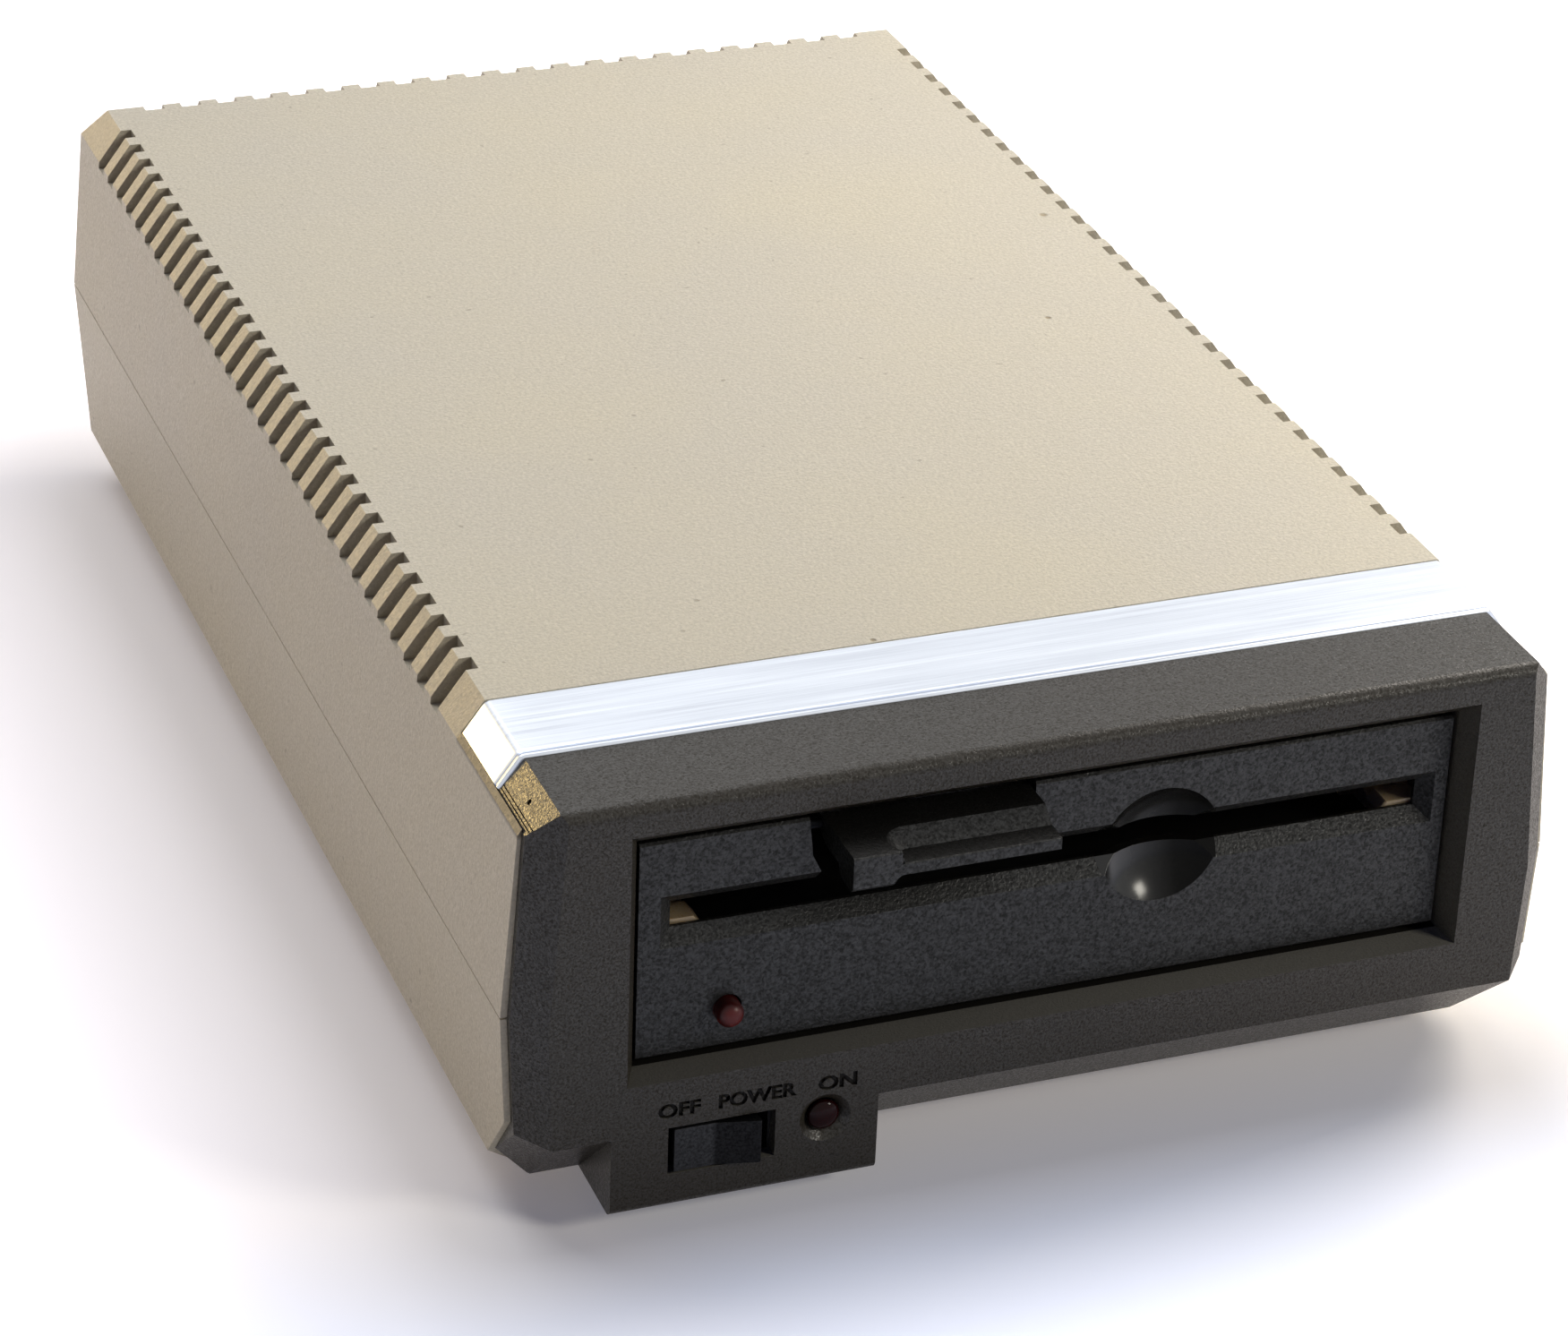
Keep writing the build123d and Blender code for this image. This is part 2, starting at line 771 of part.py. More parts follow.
def make_faceplate():
    """The front plate of the mechanism: slot, thumb bowl, lever cut-out, lamp hole."""
    y0 = faceplate_front_y
    plate = block(drive_left, drive_right, y0, y0 + faceplate_depth, drive_bottom, drive_top)
    rim = 2.4
    pocket = block(
        drive_left + rim,
        drive_right - rim,
        y0 + faceplate_wall,
        y0 + faceplate_depth + 1,
        drive_bottom + rim,
        drive_top - rim,
    )
    plate = plate - pocket
    for x0, x1 in ((cutout_left - 6, cutout_left + 1), (cutout_right - 1, cutout_right + 6)):
        plate += block(x0, x1, y0, y0 + faceplate_depth, throat_top - 1, drive_top)
    radius = (bowl_radius * bowl_radius + bowl_depth * bowl_depth) / (2 * bowl_depth)
    center = Pos(bowl_x, y0 + bowl_depth - radius, bowl_z)
    within = block(drive_left, drive_right, y0, y0 + faceplate_depth, drive_bottom + 0.5, drive_top - 0.8)
    shell_back = (center * Sphere(radius + bowl_wall)) & within
    plate = plate + shell_back
    plate = plate - (center * Sphere(radius))
    plate = plate - throat_cutter()
    cut = polygon(
        (cutout_left, drive_top + 1),
        (cutout_right, drive_top + 1),
        (cutout_right, throat_top - throat_bevel - 1),
        (lever_left - 0.3, throat_top - throat_bevel - 1),
        (lever_left - 0.3, throat_top),
        (cutout_left + 0.9, throat_top + 3.3),
    )
    plate = plate - front_profile(cut, y0 - 5, y0 + faceplate_depth + 5)
    bore = lever_shaft_radius + 0.02
    plate = plate - rod_x(cutout_left - 5, cutout_right + 5, lever_axis_y, lever_axis_z, bore)
    plate = plate - rod_y(busy_led_x, y0 - 1, y0 + 8, busy_led_z, busy_led_radius + 0.1)
    front_edges = plate.edges().group_by(Axis.Y)[0]
    keep = front_edges.filter_by(lambda e: e.length > 10 and abs(e.center().Z - drive_top) < 0.01)
    keep += front_edges.filter_by(lambda e: e.length > 10 and abs(e.center().Z - drive_bottom) < 0.01)
    return chamfer(keep, 0.5)


def make_busy_led():
    """The lamp that stands out of the faceplate, with its flange and two legs."""
    y0 = faceplate_front_y
    tip_y = y0 - busy_led_reach
    back_y = y0 + faceplate_wall
    lamp = Pos(busy_led_x, tip_y + busy_led_radius, busy_led_z) * Sphere(busy_led_radius)
    lamp += rod_y(busy_led_x, tip_y + busy_led_radius, back_y + 1, busy_led_z, busy_led_radius)
    lamp += rod_y(busy_led_x, back_y, back_y + 1.2, busy_led_z, busy_led_radius + 0.6)
    for side in (-1, 1):
        lamp += rod_y(busy_led_x + side * 1.27, back_y + 1, back_y + 7, busy_led_z, 0.3)
    return lamp


def make_door_lever():
    """The flap that closes the slot: a hub, a plate with a finger scoop, and a foot."""
    hub_radius_lever = lever_top_z - lever_axis_z
    plate_bottom = lever_top_z - lever_plate
    profile = polygon(
        (lever_axis_y, lever_top_z),
        (lever_front_y, lever_top_z),
        (lever_front_y, plate_bottom),
        (lever_axis_y - 3.2, plate_bottom),
        (lever_axis_y, lever_axis_z - hub_radius_lever),
    )
    lever = side_profile(profile, lever_left, lever_right)
    lever += rod_x(lever_left, lever_right, lever_axis_y, lever_axis_z, hub_radius_lever)
    foot = polygon(
        (lever_front_y, lever_top_z),
        (lever_front_y, foot_bottom_z + 0.7),
        (lever_front_y + 0.7, foot_bottom_z),
        (lever_front_y + 5.4, foot_bottom_z),
        (lever_front_y + 7.4, plate_bottom + 1),
    )
    foot_solid = side_profile(foot, lever_left, lever_left + foot_width + 2.2)
    lever += foot_solid
    corner = block(lever_left + foot_width, lever_left + 12, -30, 5, foot_bottom_z - 1, plate_bottom)
    round_out = Pos(lever_left + foot_width + 2.2, 0, foot_bottom_z - 0.05) * Rot(90, 0, 0) * Cylinder(2.2, 60)
    lever = lever - (corner & round_out)
    scoop_round = 4.2
    scoop_plan = polygon(
        (scoop_left + 2, lever_front_y - 2),
        (lever_right + 5, lever_front_y - 2),
        (lever_right + 5, scoop_back_y),
        (scoop_left, scoop_back_y),
        (scoop_left, lever_front_y + 3),
    )
    corner_vertex = scoop_plan.vertices().sort_by(Axis.X)[0:2].sort_by(Axis.Y)[-1]
    scoop_plan = fillet(corner_vertex, scoop_round)
    scoop = Pos(0, 0, scoop_floor_z) * extrude(scoop_plan, scoop_depth + 4)
    lever = lever - scoop
    edges = lever.edges().filter_by(Axis.X).group_by(Axis.Y)[0].sort_by(Axis.Z)[-2:]
    lever = fillet(edges, 0.35)
    bore = lever_shaft_radius + shaft_clearance
    return lever - rod_x(drive_left, drive_right, lever_axis_y, lever_axis_z, bore)


def make_lever_shaft():
    """The steel pin on which the lever turns, held in both sides of the cut-out."""
    shaft = rod_x(cutout_left - 4.6, cutout_right + 4.6, lever_axis_y, lever_axis_z, lever_shaft_radius)
    return shaft


# ---------------------------------------------------------------------------
# Drive mechanism
# ---------------------------------------------------------------------------

def make_chassis():
    """The cast frame: two side walls on rails, a ribbed deck and the bearing boss."""
    left = drive_left
    right = drive_right
    y0 = chassis_front_y
    y1 = chassis_back_y
    deck_top = deck_z + deck_wall
    frame = block(left, left + chassis_wall, y0, y1, chassis_bottom, chassis_top)
    frame += block(right - chassis_wall, right, y0, y1, chassis_bottom, chassis_top)
    frame += block(left, left + rail_width, y0, y1, chassis_bottom, chassis_bottom + 6)
    frame += block(right - rail_width, right, y0, y1, chassis_bottom, chassis_bottom + 6)
    frame += block(left, right, y0, y1, deck_z, deck_top)
    frame += block(left, right, y1 - chassis_wall, y1, chassis_bottom, deck_top + 8)
    ribs = []
    for x in (-60, -38, 40, 60):
        ribs.append(block(x - 1.2, x + 1.2, deck_opening_front_y, y1, deck_z - 3.0, deck_z))
    ribs.append(block(left, right, deck_opening_front_y - 2.4, deck_opening_front_y, deck_z - 2.8, deck_z))
    boss_top = deck_top + boss_rise
    ribs.append(post(drive_center_x, spindle_y, flywheel_top_z + 1.2, boss_top, bearing_radius + 3.5))
    frame = frame + ribs
    for x in rod_places():
        frame += block(x - 5, x + 5, rod_front_y - 3, rod_front_y + 5, deck_z, rod_z + 4.5)
        frame += block(x - 5, x + 5, rod_back_y - 5, rod_back_y + 3, deck_z, rod_z + 4.5)
    for side in (-1, 1):
        x = drive_center_x + side * clamp_half_width
        frame += block(x + side * 4 - 2.5, x + side * 4 + 2.5, clamp_axis_y - 5, clamp_axis_y + 5, deck_z, clamp_axis_z + 4)
    cuts = []
    cuts.append(post(drive_center_x, spindle_y, deck_z - 13, deck_z + 17, bearing_radius))
    cuts.append(post(motor_x, motor_y, deck_z - 3, deck_z + 7, 4.5))
    cuts.append(post(stepper_x, stepper_y, deck_z - 3, deck_z + 7, 6.0))
    half = deck_opening_half
    y_front = deck_opening_front_y
    y_back = deck_opening_back_y
    cuts.append(block(drive_center_x - half, drive_center_x + half, y_front, y_back, deck_z - 3, deck_top + 3))
    notch = head_notch_half
    cuts.append(block(drive_center_x - notch, drive_center_x + notch, y_front - head_notch_reach, y_front, deck_z, deck_top + 3))
    for y in (30, 70, 180):
        for x in (left - 1, right - chassis_wall - 1):
            cuts.append(block(x, x + chassis_wall + 2, y - 9, y + 9, deck_top + 11, deck_top + 17))
    for x in rod_places():
        cuts.append(rod_y(x, rod_front_y - 4, rod_back_y + 4, rod_z, rod_radius + 0.02))
    hole = screw_shank_radius + screw_hole_clearance
    for x, y in drive_screw_places():
        cuts.append(post(x, y, chassis_bottom - 1, chassis_bottom + drive_screw_reach + 0.4, hole))
    pivot = 1.5 + 0.02
    reach = clamp_half_width + 12
    cuts.append(rod_x(drive_center_x - reach, drive_center_x + reach, clamp_axis_y, clamp_axis_z, pivot))
    return frame - cuts


def rod_places():
    """Where the two guide rods of the head carriage lie."""
    return [drive_center_x - rod_spacing / 2, drive_center_x + rod_spacing / 2]


def make_disk_guide(side):
    """One of the two grooved rails that carry the edge of the disk."""
    wall_x = drive_left + chassis_wall if side < 0 else drive_right - chassis_wall
    inner_x = wall_x - side * 7.6
    x0, x1 = sorted((wall_x, inner_x))
    z = disk_z
    rail = block(x0, x1, chassis_front_y + 2, 138, z - 5.5, z + guide_height + 1.6)
    groove_x0, groove_x1 = sorted((wall_x - side * 2.2, inner_x - side))
    rail -= block(groove_x0, groove_x1, 0, 150, z - guide_height / 2, z + guide_height / 2)
    mouth = polygon(
        (chassis_front_y, z - guide_height),
        (chassis_front_y + 8, z - guide_height / 2),
        (chassis_front_y + 8, z + guide_height / 2),
        (chassis_front_y, z + guide_height),
    )
    rail -= side_profile(mouth, groove_x0, groove_x1)
    foot_y = [20, 64, 118]
    for y in foot_y:
        rail += block(x0, x1, y - 4, y + 4, deck_z + deck_wall, z - 5)
    return rail


def make_spindle_bearings():
    """Two ball bearings in the boss of the deck, as plain races."""
    deck_top = deck_z + deck_wall
    low = flywheel_top_z + 1.4
    pair = []
    high = deck_top + boss_rise - 0.1
    for z0, z1 in ((low, low + bearing_height), (high - bearing_height, high)):
        ring = post(drive_center_x, spindle_y, z0, z1, bearing_radius - 0.02)
        ring -= post(drive_center_x, spindle_y, z0 - 1, z1 + 1, shaft_radius + shaft_clearance)
        pair.append(ring)
    return group(pair)


def make_spindle():
    """The disk hub, its shaft and the belt flywheel, turned as one profile."""
    deck_top = deck_z + deck_wall
    points = [
        (0, hub_top_z),
        (5.0, hub_top_z),
        (6.0, hub_top_z - 3.4),
        (13.6, hub_top_z - 3.4),
        (14.0, hub_top_z - 0.6),
        (hub_radius, hub_top_z - 0.6),
        (hub_radius, hub_top_z - 2.2),
        (hub_radius - 2.2, deck_top + boss_rise + 0.6),
        (shaft_radius, deck_top + boss_rise + 0.6),
        (shaft_radius, flywheel_top_z),
        (flywheel_radius - 5, flywheel_top_z),
        (flywheel_radius, flywheel_top_z),
        (flywheel_radius, flywheel_top_z - flywheel_height),
        (flywheel_radius - 4, flywheel_top_z - flywheel_height),
        (flywheel_radius - 6, flywheel_top_z - 2.4),
        (8.0, flywheel_top_z - 2.4),
        (7.0, flywheel_top_z - flywheel_height),
        (0, flywheel_top_z - flywheel_height),
    ]
    return turned(points, drive_center_x, spindle_y)


def make_motor():
    """The can of the spindle motor, stood on the deck with a narrow neck."""
    deck_top = deck_z + deck_wall
    can = turned(
        [
            (0, deck_top),
            (motor_radius - 1, deck_top),
            (motor_radius, deck_top + 1),
            (motor_radius, deck_top + motor_height - 1.5),
            (motor_radius - 1.5, deck_top + motor_height),
            (5.0, deck_top + motor_height),
            (5.0, deck_top + motor_height + 1.0),
            (0, deck_top + motor_height + 1.0),
        ],
        motor_x,
        motor_y,
    )
    neck = post(motor_x, motor_y, deck_z + 0.4, deck_top, 4.3)
    bore = post(motor_x, motor_y, deck_z - 13, deck_top + 6, motor_shaft_radius + shaft_clearance)
    return can + neck - bore


def make_motor_pulley():
    """The crowned motor pulley on the end of the motor shaft."""
    z1 = flywheel_top_z
    z0 = z1 - flywheel_height
    radius = motor_pulley_radius
    return turned(
        [
            (0, deck_z + deck_wall + 5),
            (motor_shaft_radius, deck_z + deck_wall + 5),
            (motor_shaft_radius, z1 + 0.6),
            (radius + 0.2, z1 + 0.6),
            (radius, z1 - 0.4),
            (radius, z0 + 0.4),
            (radius + 0.2, z0 - 0.6),
            (0, z0 - 0.6),
        ],
        motor_x,
        motor_y,
    )


def make_drive_belt():
    """The flat belt round flywheel and motor pulley: two arcs and two straight runs."""
    c1 = Vector(drive_center_x, spindle_y, 0)
    c2 = Vector(motor_x, motor_y, 0)
    z0 = flywheel_top_z - flywheel_height / 2 - belt_width / 2

    def loop(extra):
        big = flywheel_radius + belt_clearance + extra
        small = motor_pulley_radius + belt_clearance + extra
        gap = c2 - c1
        angle = math.atan2(gap.Y, gap.X)
        lean = math.acos((big - small) / gap.length)
        points = []
        for sign in (1, -1):
            direction = Vector(math.cos(angle + sign * lean), math.sin(angle + sign * lean), 0)
            points.append(c1 + direction * big)
            points.append(c2 + direction * small)
        far_small = c2 + gap.normalized() * small
        far_big = c1 - gap.normalized() * big
        outline = [
            ThreePointArc(points[2], far_big, points[0]),
            Line(points[0], points[1]),
            ThreePointArc(points[1], far_small, points[3]),
            Line(points[3], points[2]),
        ]
        return make_face(Wire(outline))

    band = extrude(loop(belt_thickness), belt_width) - extrude(loop(0), belt_width)
    return Pos(0, 0, z0) * band


def make_guide_rods():
    """The pair of ground rods on which the head carriage slides."""
    rods = []
    for x in rod_places():
        rods.append(rod_y(x, rod_front_y - 3, rod_back_y + 3, rod_z, rod_radius))
    return group(rods)


def head_y():
    """Where the head stands over track zero."""
    return spindle_y + track0_radius


def arm_pin_y():
    """Where the pin of the head arm lies, at the back of the carriage."""
    return head_y() + carriage_reach - 2.2


def make_head_carriage():
    """The carriage: a bridge on two bushed ears, with the lower head on a post."""
    cx = drive_center_x
    y0 = head_y() - 6
    y1 = head_y() + carriage_reach
    ear_y1 = y1 - 3
    ear_y0 = ear_y1 - ear_length
    top_z = disk_z - head_clearance
    low_z = deck_z + 0.5
    body = block(cx - 8, cx + 8, y0, y1, low_z, low_z + 5)
    for x in rod_places():
        body += block(x - 4.8, x + 4.8, ear_y0, ear_y1, rod_z - 4.4, rod_z + 4.4)
        body += block(min(x, cx), max(x, cx), ear_y0 + 2, ear_y1, low_z, low_z + 5)
    body += post(cx, head_y(), low_z, top_z, 4.5)
    body += block(cx - 6, cx + 6, y1 - 5, y1, low_z, arm_bottom_z - 1.6)
    for side in (-1, 1):
        x0, x1 = sorted((cx + side * (arm_half_width + 0.3), cx + side * (arm_half_width + 0.3 + cheek_wall)))
        body += block(x0, x1, y1 - 5, y1, low_z, arm_pin_z)
        body += rod_x(x0, x1, arm_pin_y(), arm_pin_z, arm_knuckle_radius + 0.6)
    cuts = []
    cuts.append(rod_x(cx - 20, cx + 20, arm_pin_y(), arm_pin_z, arm_pin_radius + 0.02))
    for x in rod_places():
        cuts.append(rod_y(x, -far, far, rod_z, rod_radius + shaft_clearance))
    for x0, x1 in ((cx - 17, cx - 10), (cx + 10, cx + 17)):
        cuts.append(block(x0, x1, ear_y0 + 6, ear_y1 - 5, low_z - 1, arm_top_z))
    return body - cuts


def make_head_arm():
    """The hinged upper arm with its pad over the head."""
    cx = drive_center_x
    y0 = head_y()
    y1 = head_y() + carriage_reach
    pad_z = disk_z + head_clearance + 0.2
    half = arm_half_width
    arm = block(cx - half, cx + half, y0 - 5, arm_pin_y(), arm_bottom_z, arm_top_z)
    arm -= block(cx - 2.6, cx + 2.6, y0 + 7, y1 - 9, arm_bottom_z - 1, arm_top_z + 1)
    arm += post(cx, y0, pad_z, arm_bottom_z + 0.2, 3.6)
    arm += rod_x(cx - half, cx + half, arm_pin_y(), arm_pin_z, arm_knuckle_radius)
    return arm - rod_x(cx - 20, cx + 20, arm_pin_y(), arm_pin_z, arm_pin_radius + shaft_clearance)


def make_head_arm_pin():
    """The steel pin of the head arm, pressed into the cheeks of the carriage."""
    reach = arm_half_width + 0.3 + cheek_wall
    return rod_x(drive_center_x - reach, drive_center_x + reach, arm_pin_y(), arm_pin_z, arm_pin_radius)


def make_stepper():
    """The flat stepping motor under the deck, with its mounting ears."""
    z1 = deck_z
    z0 = z1 - stepper_height
    body = turned(
        [
            (0, z1),
            (stepper_radius, z1),
            (stepper_radius, z0 + 1.5),
            (stepper_radius - 1.5, z0),
            (0, z0),
        ],
        stepper_x,
        stepper_y,
    )
    body = body & block(-far, far, -far, chassis_back_y - chassis_wall - 0.1, -far, far)
    left = stepper_x - stepper_radius + 3.3
    right = stepper_x + stepper_radius - 3.3
    reach = stepper_y + stepper_radius
    body -= block(right, right + 20, stepper_y - stepper_radius, reach, deck_z - 3.05, deck_z + 1)
    body -= block(left - 20, left, stepper_y - stepper_radius, reach, deck_z - 3.05, deck_z + 1)
    return body - post(stepper_x, stepper_y, z1 - 6, z1 + 1, 2.5 + shaft_clearance)


def make_capstan():
    """The stepper's shaft with the drum that winds the head band."""
    top = deck_z + deck_wall + 8
    return turned(
        [
            (0, top),
            (capstan_radius, top),
            (capstan_radius, deck_z + deck_wall + 2),
            (2.5, deck_z + deck_wall + 2),
            (2.5, deck_z - 5.5),
            (0, deck_z - 5.5),
        ],
        stepper_x,
        stepper_y,
    )


def make_clamp_arm():
    """The arm over the disk that carries the clamp cone, a frame with a front tongue."""
    z0 = clamp_axis_z - 1.2
    z1 = clamp_axis_z + 1.2
    cx = drive_center_x
    w = clamp_half_width
    arm = block(cx - w, cx + w, spindle_y - 17, spindle_y + 13, z0, z1)
    for side in (-1, 1):
        x0, x1 = sorted((cx + side * (w - 8), cx + side * w))
        arm += block(x0, x1, spindle_y, clamp_axis_y + 3, z0, z1)
        arm += rod_x(x0, x1, clamp_axis_y, clamp_axis_z, 3.4)
    back_y = spindle_y - 14.6
    lift = tongue_rise
    tongue = polygon((cx - 22, tongue_front_y), (cx + 22, tongue_front_y), (cx + w - 6, back_y), (cx - w + 6, back_y))
    window = polygon((cx - 12, 22), (cx + 12, 22), (cx + 16, 44), (cx - 16, 44))
    arm += Pos(0, 0, z0 + lift) * extrude(tongue - window, z1 - z0)
    arm += block(cx - w + 6, cx + w - 6, spindle_y - 17, back_y, z0, z1 + lift)
    arm += post(cx, spindle_y, z0 - 1.4, z1 + 1.2, 6.5)
    bore = 1.5 + shaft_clearance
    arm -= rod_x(-far, far, clamp_axis_y, clamp_axis_z, bore)
    arm -= post(cx, spindle_y, -far, far, 2.0 + shaft_clearance)
    for side in (-1, 1):
        arm -= post(cx + side * 27, spindle_y - 2, z0 - 1, z1 + 1, 5.5)
    return arm


def make_clamp_pins():
    """The two pivot pins of the clamp arm, pressed into the chassis posts."""
    pins = []
    for side in (-1, 1):
        x0, x1 = sorted((
            drive_center_x + side * (clamp_half_width - 8.5),
            drive_center_x + side * (clamp_half_width + 6.5),
        ))
        pins.append(rod_x(x0, x1, clamp_axis_y, clamp_axis_z, 1.5))
    return group(pins)


def make_clamp_cone():
    """The cone that centres the disk on the hub, on its own short spindle."""
    top = clamp_axis_z - 2.9
    base = top - cone_drop
    return turned(
        [
            (0, clamp_axis_z + 4.6),
            (3.4, clamp_axis_z + 4.6),
            (3.4, clamp_axis_z + 2.7),
            (2.0, clamp_axis_z + 2.7),
            (2.0, top),
            (cone_radius, top),
            (cone_radius, top - 2.2),
            (12.6, base + 0.4),
            (9.4, base + 0.4),
            (8.4, base + 2.0),
            (0, base + 2.0),
        ],
        drive_center_x,
        spindle_y,
    )


def make_drive_board():
    """The electronics board over the chassis, on the top edges of the side walls."""
    z0 = chassis_top
    front = drive_board_front_y
    board = block(drive_left + 0.6, drive_right - 0.6, front, chassis_back_y - 2, z0, z0 + board_thickness)
    board -= block(drive_center_x - 30, drive_center_x + 30, front - 9, front + 26, z0 - 1, z0 + 5)
    return board


def chip(x, y, z, length, width, legs):
    """A dual-in-line package that lies along X, with its legs as two combs."""
    top = z + chip_height
    body = block(x - length / 2, x + length / 2, y - width / 2, y + width / 2, z + 0.6, top)
    body -= Pos(x - length / 2, y, top) * Cylinder(1.0, 1.0)
    combs = []
    for i in range(legs):
        leg_x = x + (i - (legs - 1) / 2) * 2.54
        for side in (-1, 1):
            y0, y1 = sorted((y + side * (width / 2 - 0.2), y + side * (width / 2 + 0.8)))
            combs.append(block(leg_x - 0.4, leg_x + 0.4, y0, y1, z, z + 2.2))
    return body + combs


def make_drive_chips():
    """The packages on the drive board."""
    z = chassis_top + board_thickness
    places = [(-51, 38, 20, 7), (-51, 64, 20, 7), (47, 22, 20, 7), (43, 60, 36, 10)]
    chips = []
    for x, y, length, legs in places:
        chips.append(chip(drive_center_x + x, drive_board_front_y + y, z, length, 6.4, legs))
    return group(chips)


def make_main_board():
    """The supply and interface board on pillars behind and under the drive."""
    z0 = main_board_z
    board = block(
        main_board_left,
        main_board_right,
        main_board_front_y,
        main_board_back_y,
        z0,
        z0 + board_thickness,
    )
    for x, y in board_pillar_places():
        board -= post(x, y, z0 - 1, z0 + 3, 1.3)
    return board


def make_board_screws():
    """The four small screws of the main board."""
    screws = []
    top = main_board_z + board_thickness
    for x, y in board_pillar_places():
        screw = post(x, y, main_board_z - 4.5, top, 1.0)
        screw += post(x, y, top, top + 1.6, 2.4)
        screw -= block(x - 2.0, x + 2.0, y - 0.3, y + 0.3, top + 1.0, top + 2)
        screws.append(screw)
    return group(screws)


def make_capacitors():
    """Three upright electrolytic capacitors with a pressed waist."""
    z = main_board_z + board_thickness
    cans = []
    for x, y, radius, height in ((-40, 232, 8, 22), (-18, 232, 6.5, 18), (2, 232, 5, 14)):
        cans.append(
            turned(
                [
                    (0, z),
                    (radius, z),
                    (radius, z + 2),
                    (radius - 0.6, z + 3),
                    (radius, z + 4),
                    (radius, z + height - 0.6),
                    (radius - 0.6, z + height),
                    (0, z + height),
                ],
                x,
                y,
            )
        )
    return group(cans)


def make_board_chips():
    """The interface packages on the main board."""
    z = main_board_z + board_thickness
    chips = []
    for x, y in ((-30, 190), (2, 190), (-30, 206), (2, 206)):
        chips.append(chip(x, y, z, 20, 6.4, 7))
    return group(chips)


def make_heat_sink():
    """The finned heat sink of the regulators, one extruded comb."""
    z = main_board_z + board_thickness
    sink = block(24, 60, 212, 214.4, z, z + 20)
    fins = []
    for i in range(7):
        x = 24 + i * 5.6
        fins.append(block(x, x + 1.6, 214, 226, z, z + 20))
    return sink + fins


def make_regulators():
    """Two power transistors screwed flat to the heat sink."""
    z = main_board_z + board_thickness
    parts = []
    for x in (33, 50):
        case = block(x - 5, x + 5, 207.6, 212, z + 4, z + 13)
        case += block(x - 5, x + 5, 210.7, 212, z + 13, z + 19)
        for step in (-1, 0, 1):
            leg_x = x + step * 2.54
            case += block(leg_x - 0.4, leg_x + 0.4, 209, 209.6, z, z + 4.2)
        case -= rod_y(x, 205, 214, z + 16, 1.6)
        parts.append(case)
    return group(parts)


def make_io_socket(x):
    """A round multi-pin socket in the rear wall: shell, flange and a block for its tails."""
    z = socket_center_z
    inner_face = rear_inner_y(z - socket_radius) - 0.4
    y1 = rear_inner_y(z) + cover_wall + 0.6
    y0 = inner_face - 10
    body = rod_y(x, y0, y1, z, socket_radius)
    body += block(x - 11.5, x + 11.5, inner_face - socket_flange, inner_face, z - 10.5, z + 10.5)
    body += block(x - 8, x + 8, y0 - 3, y0 + 2, z - 8, z + 6)
    return body - rod_y(x, y1 - socket_well, y1 + 1, z, socket_radius - 1.3)


def make_socket_pins():
    """The contacts of both sockets, an outer ring and an inner ring in each."""
    z = socket_center_z
    y1 = rear_inner_y(z) + cover_wall + 0.6
    pins = []
    for x in (io_socket_a_x, io_socket_b_x):
        for radius, count in ((4.6, 9), (2.0, 4)):
            for i in range(count):
                angle = math.radians(90 + 360 * i / count)
                px = x + radius * math.cos(angle)
                pz = z + radius * math.sin(angle)
                pins.append(rod_y(px, y1 - socket_well, y1 - 2.2, pz, socket_pin_radius))
    return group(pins)


def make_power_jack():
    """The barrel jack: a square body, a round mouth and the centre pin."""
    x = jack_x
    z = socket_center_z
    inner_face = rear_inner_y(z - 7) - 0.4
    y1 = rear_inner_y(z) + cover_wall + 0.4
    body = block(x - 6.5, x + 6.5, inner_face - 12, inner_face, z - 7, z + 7)
    body += rod_y(x, inner_face - 1, y1, z, jack_bore_radius + 2.0)
    body -= rod_y(x, inner_face - 9, y1 + 1, z, jack_bore_radius)
    body += rod_y(x, inner_face - 10, y1 - 1.5, z, 1.05)
    return body


def select_face_y(z):
    """Where the frame of a select switch bears on the inside of the rear wall."""
    return rear_inner_y(z - 3.2) - 0.1


def make_select_bodies():
    """The frames of the two slide switches inside the rear wall."""
    frames = []
    for z in select_switch_heights():
        y1 = select_face_y(z)
        x = select_switch_x
        body = block(x - 9, x + 9, y1 - 5.5, y1, z - 3.2, z + 3.2)
        body -= block(x - 4.6, x + 4.6, y1 - 2.5, y1 + 1, z - 1.9, z + 1.9)
        for step in (-1, 0, 1):
            body += block(x + step * 4 - 0.6, x + step * 4 + 0.6, y1 - 9, y1 - 5, z - 0.4, z + 0.4)
        frames.append(body)
    return group(frames)


def make_select_slider(z):
    """The square button of one slide switch, at the left end of its travel."""
    y1 = select_face_y(z)
    x0 = select_switch_x - 4.3
    knob = block(x0, x0 + 4.2, y1 - 2.3, y1 + cover_wall + 0.3, z - 1.6, z + 1.6)
    for step in (1, 2, 3):
        gx = x0 + step * 1.05
        knob -= block(gx - 0.15, gx + 0.15, y1 + cover_wall - 0.1, y1 + cover_wall + 1, z - 2, z + 2)
    return knob


def make_rubber_feet():
    """Four domed rubber feet under the lower cover."""
    feet = []
    z1 = -lower_height
    places = []
    for side in (-1, 1):
        places.append((side * foot_front_x, foot_front_y))
        places.append((side * foot_back_x, foot_back_y))
    for x, y in places:
        feet.append(
            turned(
                [
                    (0, z1),
                    (foot_radius, z1),
                    (foot_radius, z1 - foot_height * 0.55),
                    (foot_radius - 1.4, z1 - foot_height),
                    (0, z1 - foot_height),
                ],
                x,
                y,
            )
        )
    return group(feet)


